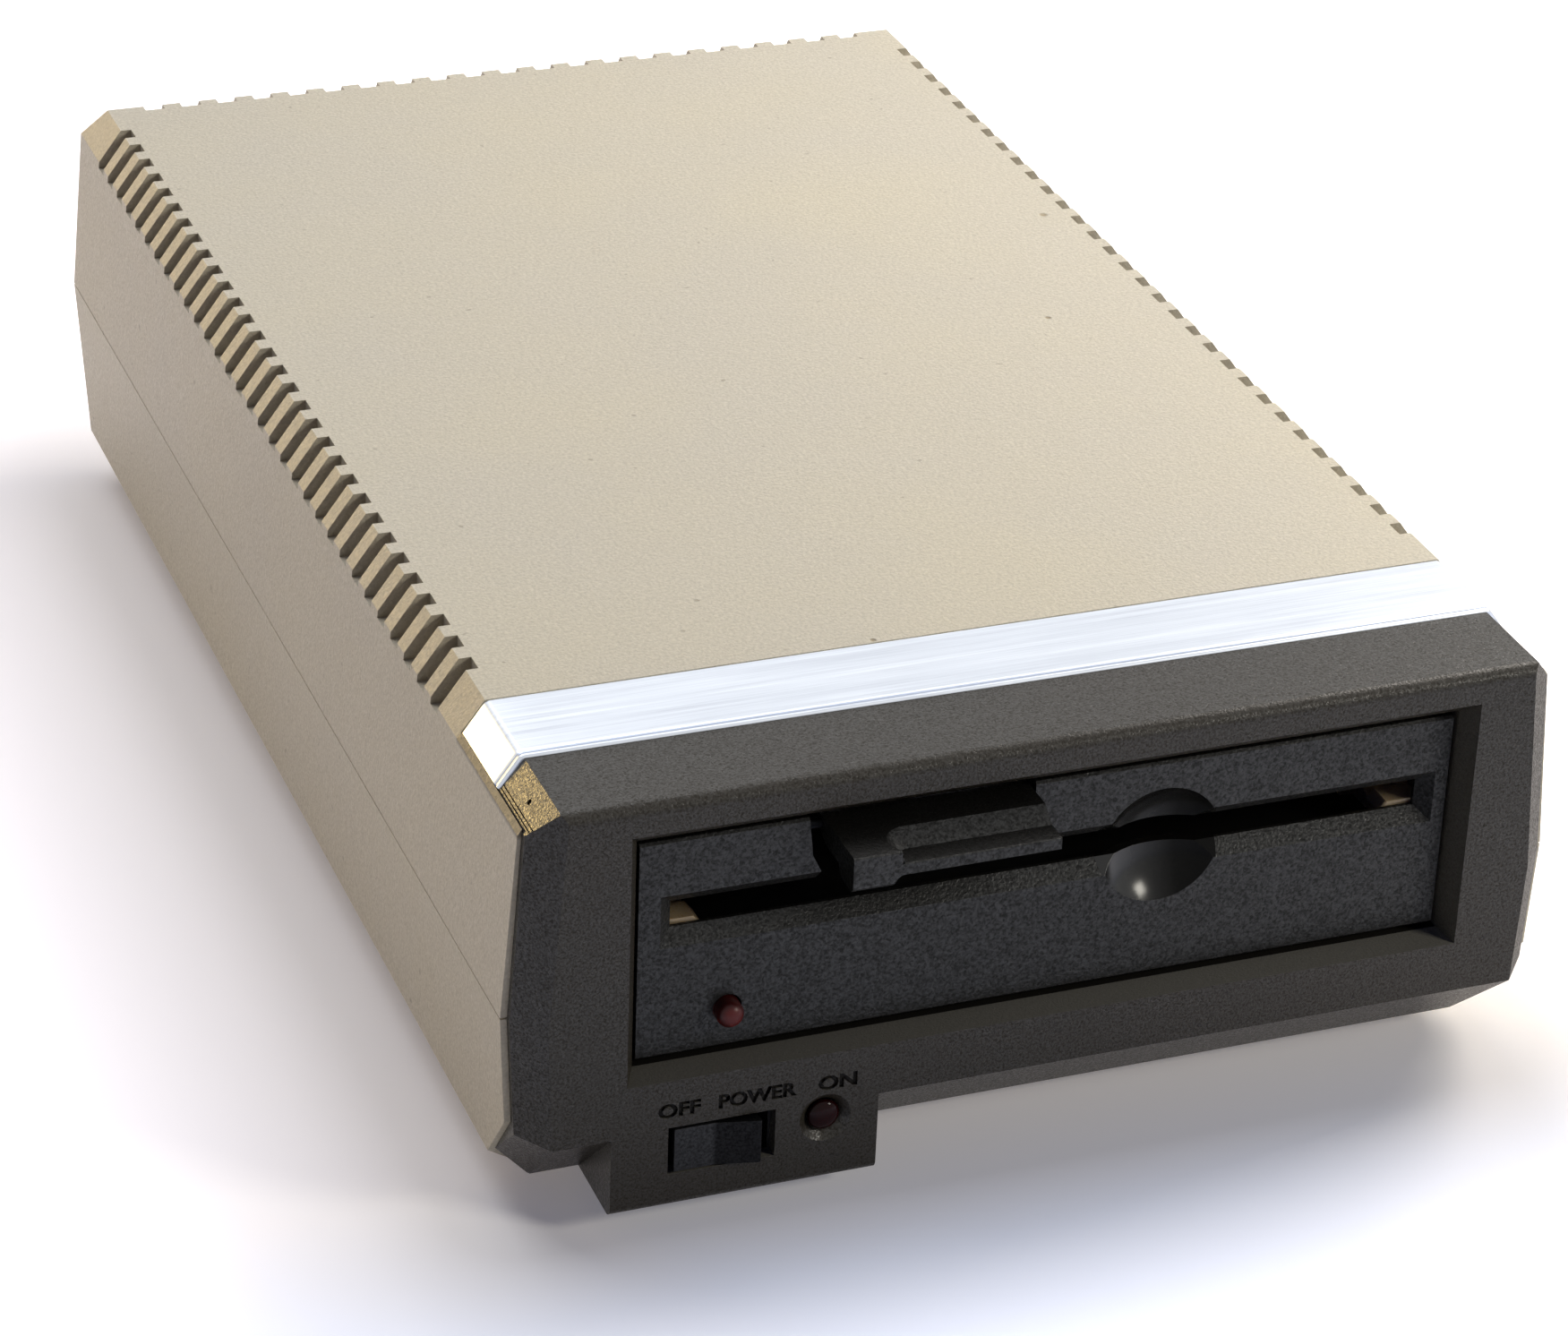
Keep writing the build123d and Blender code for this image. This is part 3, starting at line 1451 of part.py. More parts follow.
def screw_at(x, y, seat_z, tip_z):
    """A pan-head screw driven upwards, with a cross recess in its head."""
    head_low = seat_z - screw_head_height
    screw = post(x, y, head_low, seat_z, screw_head_radius)
    screw += post(x, y, seat_z, tip_z, screw_shank_radius)
    screw -= block(x - 1.8, x + 1.8, y - 0.4, y + 0.4, head_low - 1, head_low + 1.2)
    screw -= block(x - 0.4, x + 0.4, y - 1.8, y + 1.8, head_low - 1, head_low + 1.2)
    return screw


def make_case_screws():
    """The four screws that pull the covers together."""
    screws = []
    for x, y in case_screw_places():
        screws.append(screw_at(x, y, case_screw_seat_z, case_screw_reach))
    return group(screws)


def make_drive_screws():
    """The four screws that hold the drive on its pillars."""
    seat = chassis_bottom - drive_screw_seat
    screws = []
    for x, y in drive_screw_places():
        screws.append(screw_at(x, y, seat, chassis_bottom + drive_screw_reach))
    return group(screws)


nodes = {
    "top_cover": make_top_cover(),
    "bottom_cover": make_bottom_cover(),
    "trim_strip": make_trim_strip(),
    "front_bezel": make_front_bezel(),
    "power_led": make_power_led(),
    "power_rocker": make_power_rocker(),
    "power_switch_body": make_switch_body(),
    "drive_faceplate": make_faceplate(),
    "busy_led": make_busy_led(),
    "door_lever": make_door_lever(),
    "lever_shaft": make_lever_shaft(),
    "drive_chassis": make_chassis(),
    "disk_guide_left": make_disk_guide(-1),
    "disk_guide_right": make_disk_guide(1),
    "spindle_bearings": make_spindle_bearings(),
    "spindle": make_spindle(),
    "spindle_motor": make_motor(),
    "motor_pulley": make_motor_pulley(),
    "drive_belt": make_drive_belt(),
    "guide_rods": make_guide_rods(),
    "head_carriage": make_head_carriage(),
    "head_arm": make_head_arm(),
    "head_arm_pin": make_head_arm_pin(),
    "stepper_motor": make_stepper(),
    "band_capstan": make_capstan(),
    "clamp_arm": make_clamp_arm(),
    "clamp_pins": make_clamp_pins(),
    "clamp_cone": make_clamp_cone(),
    "drive_board": make_drive_board(),
    "drive_chips": make_drive_chips(),
    "main_board": make_main_board(),
    "main_board_screws": make_board_screws(),
    "capacitors": make_capacitors(),
    "interface_chips": make_board_chips(),
    "heat_sink": make_heat_sink(),
    "regulators": make_regulators(),
    "io_socket_a": make_io_socket(io_socket_a_x),
    "socket_pins": make_socket_pins(),
    "io_socket_b": make_io_socket(io_socket_b_x),
    "power_jack": make_power_jack(),
    "select_switch_bodies": make_select_bodies(),
    "select_slider_low": make_select_slider(select_switch_heights()[0]),
    "select_slider_high": make_select_slider(select_switch_heights()[1]),
    "rubber_feet": make_rubber_feet(),
    "case_screws": make_case_screws(),
    "drive_screws": make_drive_screws(),
}

for name, piece in nodes.items():
    export_step(to_origin * piece, "parts/" + name + ".step")
    print(name, "written")
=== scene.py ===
"""An external floppy disk drive in moulded ABS, dressed for its portrait.

The frame's nodes are copied, welded and given the small rounds of real mouldings.
The metal band, both lamps and the cut lettering are surfaces of their own.
"""
import json
import math

import bmesh
import bpy
import numpy as np
from mathutils import Matrix, Vector


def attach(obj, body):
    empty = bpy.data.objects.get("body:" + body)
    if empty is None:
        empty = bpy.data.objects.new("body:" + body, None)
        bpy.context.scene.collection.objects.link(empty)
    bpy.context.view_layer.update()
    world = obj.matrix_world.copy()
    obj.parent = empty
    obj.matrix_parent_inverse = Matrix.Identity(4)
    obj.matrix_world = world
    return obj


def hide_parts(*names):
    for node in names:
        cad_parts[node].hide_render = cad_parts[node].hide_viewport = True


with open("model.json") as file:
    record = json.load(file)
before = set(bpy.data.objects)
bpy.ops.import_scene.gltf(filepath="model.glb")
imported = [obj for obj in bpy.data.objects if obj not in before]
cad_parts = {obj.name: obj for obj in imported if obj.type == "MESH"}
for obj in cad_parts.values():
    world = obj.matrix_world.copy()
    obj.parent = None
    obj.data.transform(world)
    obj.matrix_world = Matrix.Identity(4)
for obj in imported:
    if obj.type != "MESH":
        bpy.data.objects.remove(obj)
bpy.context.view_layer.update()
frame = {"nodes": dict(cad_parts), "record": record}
nodes = frame["nodes"]
MM = 0.001

# Where the case's own axes lie in this frame, in millimetres: Y starts at the front rim
# of the covers and Z at the parting line
BACK_SHIFT = 144.0
LIFT = 42.5
CASE_ORIGIN = np.array([0, -BACK_SHIFT, LIFT])

# Sizes and places in the case's axes that the new surfaces and the marks sit on, in millimetres
TOP_HALF = 87.6
TOP_Z = 40.6
BAND_END = (91.56, 35.24)
BAND_FRONT = 13.3
BAND_BACK = 32.8
BAND_WALL = 1.2
BEZEL_FACE_Y = -6.9
FACEPLATE_Y = -1.8
POWER_LAMP = (-40.2, -25.8)
BUSY_LAMP = (-56.6, -4.1)
BUSY_TIP_Y = -5.5
THUMB_BOWL = (20.6, 13.7)
# Middle and half size of the block of space that the cut letters fill, below the bezel's skin
LETTER_WINDOW = ((-52.0, -6.2, -18.95), (19.0, 0.55, 1.6))
# The outer edge of the bezel's left facet in X and Z, and the way up that facet as the X and Z
# parts of a unit length
FACET_EDGE = (-91.23, 34.36)
FACET_RISE = (0.594, 0.804)
FACET_DENT = (-89.0, 4.0, 37.4)
# The ring over an inner boss in X and Y, and the knocks in the lid's top in X, Y and radius
SINK_MARK = (-84.0, 285.0)
KNOCKS = ((80.4, 193.0, 1.1), (61.5, 146.4, 0.8), (-18.9, 33.6, 0.7))
# Each cut word with the left end, the low end and the width of its letters
WORDS = (("OFF", -69.9, -20.4, 7.5), ("POWER", -59.3, -20.4, 13.9), ("ON", -41.7, -20.4, 7.0))
LETTER_HEIGHT = 2.9
LETTER_DEPTH = 0.5

# Turn in degrees over which an edge of a node is a corner, and the steps of a corner's round
CORNER_ANGLE = 28
ROUND_STEPS = 2

# The camera's place in the case's axes, its azimuth, elevation and roll in degrees, and its lens
CAMERA_PLACE = (-294.65, -627.43, 425.18)
CAMERA_TURN = (21.46, 28.61, 2.22)
CAMERA_LENS = 110.53


def placed(points):
    """Points given in the case's axes, in metres of this frame."""
    return (np.asarray(points) + CASE_ORIGIN) * MM


def spot(x, y, z):
    """A point given in the case's axes, in the frame's millimetres, as the materials read it."""
    return (CASE_ORIGIN + (x, y, z)).tolist()


def depth_at(y):
    """A depth given in the case's axes, in the frame's millimetres."""
    return y - BACK_SHIFT


# ---------------------------------------------------------------------------
# Camera, floor and light
# ---------------------------------------------------------------------------

def look_matrix(place, azimuth, elevation, roll):
    """Place and turn of a camera that looks along the azimuth and down by the elevation."""
    az, el, ro = (math.radians(v) for v in (azimuth, elevation, roll))
    ahead = Vector((math.sin(az) * math.cos(el), math.cos(az) * math.cos(el), -math.sin(el)))
    right = Vector((math.cos(az), -math.sin(az), 0))
    up = right.cross(ahead)
    side = math.cos(ro) * right + math.sin(ro) * up
    top = -math.sin(ro) * right + math.cos(ro) * up
    turn = Matrix((side, top, -ahead)).transposed().to_4x4()
    return Matrix.Translation(place) @ turn


def make_camera():
    data = bpy.data.cameras.new("camera")
    data.sensor_width = 36.0
    data.lens = CAMERA_LENS
    camera = bpy.data.objects.new("camera", data)
    bpy.context.scene.collection.objects.link(camera)
    camera.matrix_world = look_matrix(placed(CAMERA_PLACE), *CAMERA_TURN)
    bpy.context.scene.camera = camera
    bpy.context.scene.view_settings.view_transform = "Standard"


def soft_box(name, direction, distance, size, energy, tint):
    """A lamp of the given width and height that faces the middle of the case."""
    data = bpy.data.lights.new(name, "AREA")
    data.shape = "RECTANGLE"
    data.size, data.size_y = size
    data.energy = energy
    data.color = linear(tint)[:3]
    lamp = bpy.data.objects.new(name, data)
    lamp.visible_camera = False
    bpy.context.scene.collection.objects.link(lamp)
    aim = Vector(direction).normalized()
    turn = aim.to_track_quat("Z", "Y").to_matrix().to_4x4()
    lamp.matrix_world = Matrix.Translation(Vector((0, 0, 0.04)) + aim * distance) @ turn


def seen_directly(tree):
    """1 for the rays that show the paper and the room: straight, mirrored or through glass."""
    path = add(tree, "LightPath").node.outputs
    both = add(tree, "Math", {0: path["Is Camera Ray"], 1: path["Is Glossy Ray"]}, operation="ADD")
    return add(
        tree, "Math", {0: both, 1: path["Is Transmission Ray"]}, operation="ADD", use_clamp=True)


def make_floor():
    """White paper: a large flat sheet that keeps the soft shadow; its glow is painted weaker near
    the case, a painted shadow, and colder in front, a painted cold shadow.
    """
    half_width = 6.0
    # half of the case's footprint, the stretch beyond it over which the glow grows out of the
    # painted shadow, and where the glow turns from neutral to the cold tint of the painted shadow
    # in front of the case, all in metres
    footprint = (0.09, 0.14, 1.0)
    grows_from, grows_to = 0.012, 0.060
    cold_shade_from, cold_shade_to = -0.13, -0.17
    mesh = bpy.data.meshes.new("floor")
    corners = np.array([(-1, -1, 0), (1, -1, 0), (1, 1, 0), (-1, 1, 0)]) * half_width
    mesh.from_pydata(corners.tolist(), [], [(0, 1, 2, 3)])
    floor = bpy.data.objects.new("floor", mesh)
    bpy.context.scene.collection.objects.link(floor)
    material = bpy.data.materials.new("paper_white")
    material.use_nodes = True
    tree = material.node_tree
    tree.nodes.clear()
    sheet = add(tree, "BsdfDiffuse", {"Color": linear("#F4F1EE")})
    place = add(tree, "TexCoord", out="Object")
    beyond = add(tree, "VectorMath", {0: place}, operation="ABSOLUTE")
    beyond = add(tree, "VectorMath", {0: beyond, 1: footprint}, operation="SUBTRACT")
    beyond = add(tree, "VectorMath", {0: beyond, 1: (0, 0, 0)}, operation="MAXIMUM")
    beyond = add(tree, "VectorMath", {0: beyond}, out="Value", operation="LENGTH")
    strength = add(tree, "MapRange", {
        "Value": beyond, "From Min": grows_from, "From Max": grows_to,
        "To Min": 0.175, "To Max": 0.75})
    forward = add(tree, "SeparateXYZ", {0: place}, out=1)
    front = add(tree, "MapRange", {"Value": forward, "From Min": cold_shade_from, "From Max": cold_shade_to})
    tint = add(tree, "Mix", {
        0: front, 6: linear("#F3EEF4"), 7: linear("#D9E4FF")}, out=2, data_type="RGBA")
    glow = add(tree, "Emission", {"Color": tint, "Strength": strength})
    lit = add(tree, "AddShader", {0: sheet, 1: glow})
    shown = add(tree, "MixShader", {0: seen_directly(tree), 1: sheet, 2: lit})
    add(tree, "OutputMaterial", {"Surface": shown})
    mesh.materials.append(material)


def make_light():
    """Soft daylight from above and from a window on the right, a low warm gleam from the left.

    A small lamp at the front right gives the dark front its sheen.
    """
    world = bpy.data.worlds.new("studio")
    bpy.context.scene.world = world
    world.use_nodes = True
    tree = world.node_tree
    tree.nodes.clear()
    room = add(tree, "Background", {"Color": linear("#7A90FF"), "Strength": 0.06})
    white = add(tree, "Background", {"Color": (1, 1, 1, 1), "Strength": 1.0})
    shown = add(tree, "MixShader", {0: seen_directly(tree), 1: room, 2: white})
    add(tree, "OutputWorld", {"Surface": shown})
    # direction, distance in metres, width and height in metres, watts and colour
    soft_box("lamp_over", (-0.14, 0.50, 1.0), 2.0, (1.5, 1.5), 20.3, "#FBFCFF")
    soft_box("lamp_window", (0.74, 0.12, 0.66), 0.56, (0.30, 0.30), 2.5, "#FFF7EC")
    soft_box("lamp_sky", (0.46, 0.80, 0.36), 1.8, (1.2, 0.9), 0.8, "#F2F6FF")
    soft_box("lamp_left_low", (-0.56, 0.82, 0.11), 3.0, (0.95, 0.47), 19.0, "#FFD67D")
    soft_box("lamp_front", (0.62, -0.62, 0.42), 1.8, (0.35, 0.35), 10.4, "#FFFAED")


# ---------------------------------------------------------------------------
# Materials
# ---------------------------------------------------------------------------

def linear(code):
    """An sRGB hex colour as linear RGBA."""
    value = np.array([int(code[i:i + 2], 16) / 255 for i in (1, 3, 5)])
    value = np.where(value <= 0.04045, value / 12.92, ((value + 0.055) / 1.055) ** 2.4)
    return (*value.tolist(), 1.0)


def add(tree, kind, inputs=None, out=0, **settings):
    """One node with its settings and links; gives the output that the next node reads."""
    made = tree.nodes.new("ShaderNode" + kind)
    for name, value in settings.items():
        setattr(made, name, value)
    for name, value in (inputs or {}).items():
        if isinstance(value, bpy.types.NodeSocket):
            tree.links.new(value, made.inputs[name])
        else:
            made.inputs[name].default_value = value
    return made.outputs[out] if made.outputs else None


def new_material(name):
    """An empty material: its tree, its shader's inputs and the place in millimetres."""
    material = bpy.data.materials.new(name)
    material.use_nodes = True
    tree = material.node_tree
    tree.nodes.clear()
    surface = add(tree, "BsdfPrincipled")
    add(tree, "OutputMaterial", {"Surface": surface})
    place = add(tree, "TexCoord", out="Object")
    place = add(tree, "VectorMath", {0: place, 1: (1000, 1000, 1000)}, operation="MULTIPLY")
    return material, tree, surface.node.inputs, place


def connect(tree, source, target):
    tree.links.new(source, target)


def moulded_plastic(
        name, base, aged, grime_and_shade, grain_mm, depth_mm, rough, corner_dirt_shade_share, ior=1.53, hollow=0.0):
    """Plastic from a spark-eroded mould: worm-like grain, a satin sheen, dirt and painted shade in
    the corners.

    The grain raises the surface by depth_mm, the valleys between its bumps are painted a little
    darker as painted shade, and the bumps are a little glossier, as rubbed plastic is. The
    grime_and_shade colour covers up to corner_dirt_shade_share of an inner corner, found by
    occlusion: dirt, and painted shade where that colour is darker than the base. The valleys lose
    the share called hollow of their mirrored light, because their own sides hide it.
    """
    material, tree, shader, place = new_material(name)
    swell_mm, cloud_mm, speck_mm = grain_mm * 2.6, 55, 1.9
    grain = add(tree, "TexNoise", {
        "Vector": place, "Scale": 1 / grain_mm, "Detail": 2.0, "Roughness": 0.55,
        "Distortion": 0.5})
    swell = add(tree, "TexNoise", {"Vector": place, "Scale": 1 / swell_mm, "Detail": 1.0})
    clouds = add(tree, "TexNoise", {"Vector": place, "Scale": 1 / cloud_mm, "Detail": 3.0})
    specks = add(tree, "TexNoise", {"Vector": place, "Scale": 1 / speck_mm, "Detail": 0.0})
    corner = add(tree, "AmbientOcclusion", {
        "Distance": 3 * MM}, out="AO", samples=6, only_local=True)

    age = add(tree, "MapRange", {"Value": clouds, "From Min": 0.35, "From Max": 0.68})
    color = add(tree, "Mix", {0: age, 6: linear(base), 7: linear(aged)}, out=2, data_type="RGBA")
    fleck = add(tree, "MapRange", {
        "Value": specks, "From Min": 0.83, "From Max": 0.88, "To Max": 0.4})
    color = add(tree, "Mix", {0: fleck, 6: color, 7: linear(grime_and_shade)}, out=2, data_type="RGBA")
    # the occluded corners take the grime colour: dirt, and painted shade where it is darker than
    # the base
    dirt = add(tree, "MapRange", {
        "Value": corner, "From Min": 0.30, "From Max": 0.95, "To Min": corner_dirt_shade_share, "To Max": 0.0})
    color = add(tree, "Mix", {0: dirt, 6: color, 7: linear(grime_and_shade)}, out=2, data_type="RGBA")
    # painted shade: the grain's valleys are painted darker, its bumps lighter
    shade = add(tree, "MapRange", {
        "Value": grain, "From Min": 0.30, "From Max": 0.70, "To Min": 0.87, "To Max": 1.07})
    color = add(tree, "VectorMath", {0: color, 3: shade}, operation="SCALE")
    connect(tree, color, shader["Base Color"])
    if hollow:
        mirrored = add(tree, "MapRange", {
            "Value": grain, "From Min": 0.32, "From Max": 0.66,
            "To Min": 0.5 * (1 - hollow), "To Max": 0.5 * (1 + hollow)})
        connect(tree, mirrored, shader["Specular IOR Level"])

    gloss = add(tree, "MapRange", {
        "Value": grain, "From Min": 0.35, "From Max": 0.70,
        "To Min": rough + 0.08, "To Max": rough - 0.08})
    connect(tree, gloss, shader["Roughness"])
    shader["IOR"].default_value = ior
    height = add(tree, "Mix", {0: 0.35, 2: grain, 3: swell})
    bump = add(tree, "Bump", {"Strength": 1.0, "Distance": depth_mm * MM, "Height": height})
    connect(tree, bump, shader["Normal"])
    return material, tree, shader, place, height, bump


def case_plastic():
    """Tan ABS of both covers: warm light beige, a little yellowed, with a matt worm grain.

    A sink mark over an inner boss shows as a faint ring near the back left corner of the lid,
    and three small knocks have left dents with a little dirt in them.
    """
    material, tree, shader, place, height, bump = moulded_plastic(
        "abs_tan_moulded", "#C5BEAC", "#C8C0AA", "#6E6044", 0.62, 0.21, 0.42, 0.6, 1.48)
    ring_radius, ring_half_width, ring_drop, knock_drop = 3.4, 0.9, -0.6, -1.5
    flat = add(tree, "VectorMath", {0: place, 1: (1, 1, 0)}, operation="MULTIPLY")
    centre = (SINK_MARK[0], depth_at(SINK_MARK[1]), 0)
    away = add(tree, "VectorMath", {0: flat, 1: centre}, out="Value", operation="DISTANCE")
    ring = add(tree, "Math", {0: away, 1: ring_radius, 2: ring_half_width}, operation="COMPARE")
    sunk = add(tree, "Math", {0: ring, 1: ring_drop, 2: height}, operation="MULTIPLY_ADD")
    color = shader["Base Color"].links[0].from_socket
    for x, y, radius in KNOCKS:
        middle = spot(x, y, TOP_Z)
        away = add(tree, "VectorMath", {0: place, 1: middle}, out="Value", operation="DISTANCE")
        struck = add(tree, "MapRange", {
            "Value": away, "From Min": radius, "From Max": radius * 0.4})
        sunk = add(tree, "Math", {0: struck, 1: knock_drop, 2: sunk}, operation="MULTIPLY_ADD")
        color = add(tree, "Mix", {
            0: struck, 6: color, 7: linear("#9A8D70")}, out=2, data_type="RGBA")
    # painted shade: the fin beside the band is painted a darker brown
    side, depth, rise = add(tree, "SeparateXYZ", {0: place}).node.outputs
    painted_fin_shade = 0.75
    for value, start, end in (
            (side, -90.4, -91.2),
            (depth, depth_at(BAND_BACK + 0.6), depth_at(BAND_BACK - 0.2)),
            (rise, LIFT + 33.2, LIFT + 33.9)):
        within = add(tree, "MapRange", {"Value": value, "From Min": start, "From Max": end})
        painted_fin_shade = add(tree, "Math", {0: painted_fin_shade, 1: within}, operation="MULTIPLY")
    color = add(tree, "Mix", {0: painted_fin_shade, 6: color, 7: linear("#5E5238")}, out=2, data_type="RGBA")
    connect(tree, color, shader["Base Color"])
    connect(tree, sunk, bump.node.inputs["Height"])
    return material


def facet_marks(tree, place, sloping):
    """1 on two scored lines that run along the left facet's outer edge and on one small dent."""
    lines_up, half_apart, half_line = 1.3, 0.33, 0.10
    dent_radius, dent_floor = 0.66, 0.50
    rise = (FACET_RISE[0], 0, FACET_RISE[1])
    edge = spot(FACET_EDGE[0], 0, FACET_EDGE[1])
    between = float(np.dot(edge, rise)) + lines_up
    across = add(tree, "VectorMath", {0: place, 1: rise}, out="Value", operation="DOT_PRODUCT")
    across = add(tree, "Math", {0: across, 1: between}, operation="SUBTRACT")
    across = add(tree, "Math", {0: across}, operation="ABSOLUTE")
    scored = add(tree, "Math", {0: across, 1: half_apart, 2: half_line}, operation="COMPARE")
    scored = add(tree, "Math", {0: scored, 1: sloping}, operation="MULTIPLY")
    middle = spot(*FACET_DENT)
    away = add(tree, "VectorMath", {0: place, 1: middle}, out="Value", operation="DISTANCE")
    dent = add(tree, "MapRange", {"Value": away, "From Min": dent_radius, "From Max": dent_floor})
    return add(tree, "Math", {0: scored, 1: dent}, operation="MAXIMUM")


def letter_shade(tree, place):
    """The painted shade in the cut letters: it fills a block of space that only they reach into."""
    soft_edge, shade_share = 0.08, 0.7
    centre, half = LETTER_WINDOW
    inside = add(tree, "VectorMath", {0: place, 1: spot(*centre)}, operation="SUBTRACT")
    inside = add(tree, "VectorMath", {0: inside}, operation="ABSOLUTE")
    inside = add(tree, "VectorMath", {0: half, 1: inside}, operation="SUBTRACT")
    inside = add(tree, "SeparateXYZ", {0: inside}).node.outputs
    near = add(tree, "Math", {0: inside[0], 1: inside[1]}, operation="MINIMUM")
    near = add(tree, "Math", {0: near, 1: inside[2]}, operation="MINIMUM")
    return add(tree, "MapRange", {"Value": near, "From Max": soft_edge, "To Max": shade_share})


def bezel_plastic():
    """Brown-grey ABS of the bezel: a finer grain than the covers and a clearer satin sheen.

    The upper left facet has two scored lines along its outer edge and one small dent. The cut
    letters and the seam under the mechanism's face are painted dark as painted shade. What lies
    level in the lower half of the recess is painted a pale dusty colour, partly real and partly
    painted light, and the recess side that faces left gets a thin film of that colour as painted
    light.
    """
    material, tree, shader, place, _, _ = moulded_plastic(
        "abs_brown_grey_moulded", "#302D27", "#332F29", "#141210", 0.44, 0.12, 0.34, 0.15, 1.33,
        0.6)
    side, depth, rise = add(tree, "SeparateXYZ", {0: place}).node.outputs
    normal = add(tree, "TexCoord", out="Normal")
    to_right, _, to_top = add(tree, "SeparateXYZ", {0: normal}).node.outputs

    # the sloping left facet: it faces left by more than 0.7 and up by more than 0.4
    sloping = add(tree, "Math", {0: to_right, 1: -0.7}, operation="LESS_THAN")
    sloping = add(tree, "Math", {0: to_top, 1: sloping, 2: -0.4}, operation="MULTIPLY_ADD")
    sloping = add(tree, "Math", {0: sloping, 1: 0.0}, operation="GREATER_THAN")
    marks = facet_marks(tree, place, sloping)
    # painted shade in the cut letters
    letter_shade_share = letter_shade(tree, place)
    marks = add(tree, "Math", {0: marks, 1: letter_shade_share}, operation="MAXIMUM")

    # a pale dusty colour on what lies level in the lower half of the recess, thinner to the left,
    # partly real and partly painted light; painted shade in the seam behind it; and a thin film of
    # that colour on the recess side that faces left, as painted light
    level = add(tree, "MapRange", {
        "Value": to_top, "From Min": 0.80, "From Max": 0.95, "To Max": 0.85})
    below = add(tree, "Math", {0: rise, 1: LIFT}, operation="LESS_THAN")
    dust_and_painted_light = add(tree, "Math", {0: level, 1: below}, operation="MULTIPLY")
    # painted shade: the seam behind the level ledge is painted dark
    seam = add(tree, "MapRange", {
        "Value": depth, "From Min": depth_at(FACEPLATE_Y - 0.05),
        "From Max": depth_at(FACEPLATE_Y + 0.05), "To Max": 1.1})
    seam = add(tree, "Math", {0: seam, 1: dust_and_painted_light}, operation="MULTIPLY")
    marks = add(tree, "Math", {0: marks, 1: seam}, operation="MAXIMUM")
    spread = add(tree, "MapRange", {"Value": side, "From Min": -50, "From Max": 30, "To Min": 0.75})
    dust_and_painted_light = add(tree, "Math", {0: dust_and_painted_light, 1: spread}, operation="MULTIPLY")
    wall_painted_light = add(tree, "MapRange", {
        "Value": to_right, "From Min": -0.90, "From Max": -0.98, "To Max": 0.3})
    dust_and_painted_light = add(tree, "Math", {0: dust_and_painted_light, 1: wall_painted_light}, operation="MAXIMUM")
    color = shader["Base Color"].links[0].from_socket
    color = add(tree, "Mix", {0: dust_and_painted_light, 6: color, 7: linear("#7B7970")}, out=2, data_type="RGBA")
    # the marks, and the painted shade of the letters and the seam, take the dark colour
    color = add(tree, "Mix", {0: marks, 6: color, 7: linear("#0C0A08")}, out=2, data_type="RGBA")
    connect(tree, color, shader["Base Color"])

    # the right chamfer, the underside, the marks and the painted shade are duller, the left facet
    # is rubbed shiny
    outer = add(tree, "MapRange", {
        "Value": to_right, "From Min": 0.50, "From Max": 0.66, "To Max": 0.88})
    under = add(tree, "MapRange", {
        "Value": to_top, "From Min": -0.45, "From Max": -0.65, "To Max": 0.55})
    dull = add(tree, "Math", {0: outer, 1: under}, operation="MAXIMUM")
    dull = add(tree, "Math", {0: dull, 1: marks}, operation="MAXIMUM")
    clean = add(tree, "Math", {0: 1.0, 1: dull}, operation="SUBTRACT")
    clean = add(tree, "Math", {0: sloping, 1: clean, 2: clean}, operation="MULTIPLY_ADD")
    mirrored = shader["Specular IOR Level"].links[0].from_socket
    mirrored = add(tree, "Math", {0: mirrored, 1: clean}, operation="MULTIPLY")
    connect(tree, mirrored, shader["Specular IOR Level"])
    grained = shader["Roughness"].links[0].from_socket
    rubbed = add(tree, "Math", {0: sloping, 1: -0.08, 2: grained}, operation="MULTIPLY_ADD")
    connect(tree, rubbed, shader["Roughness"])
    return material


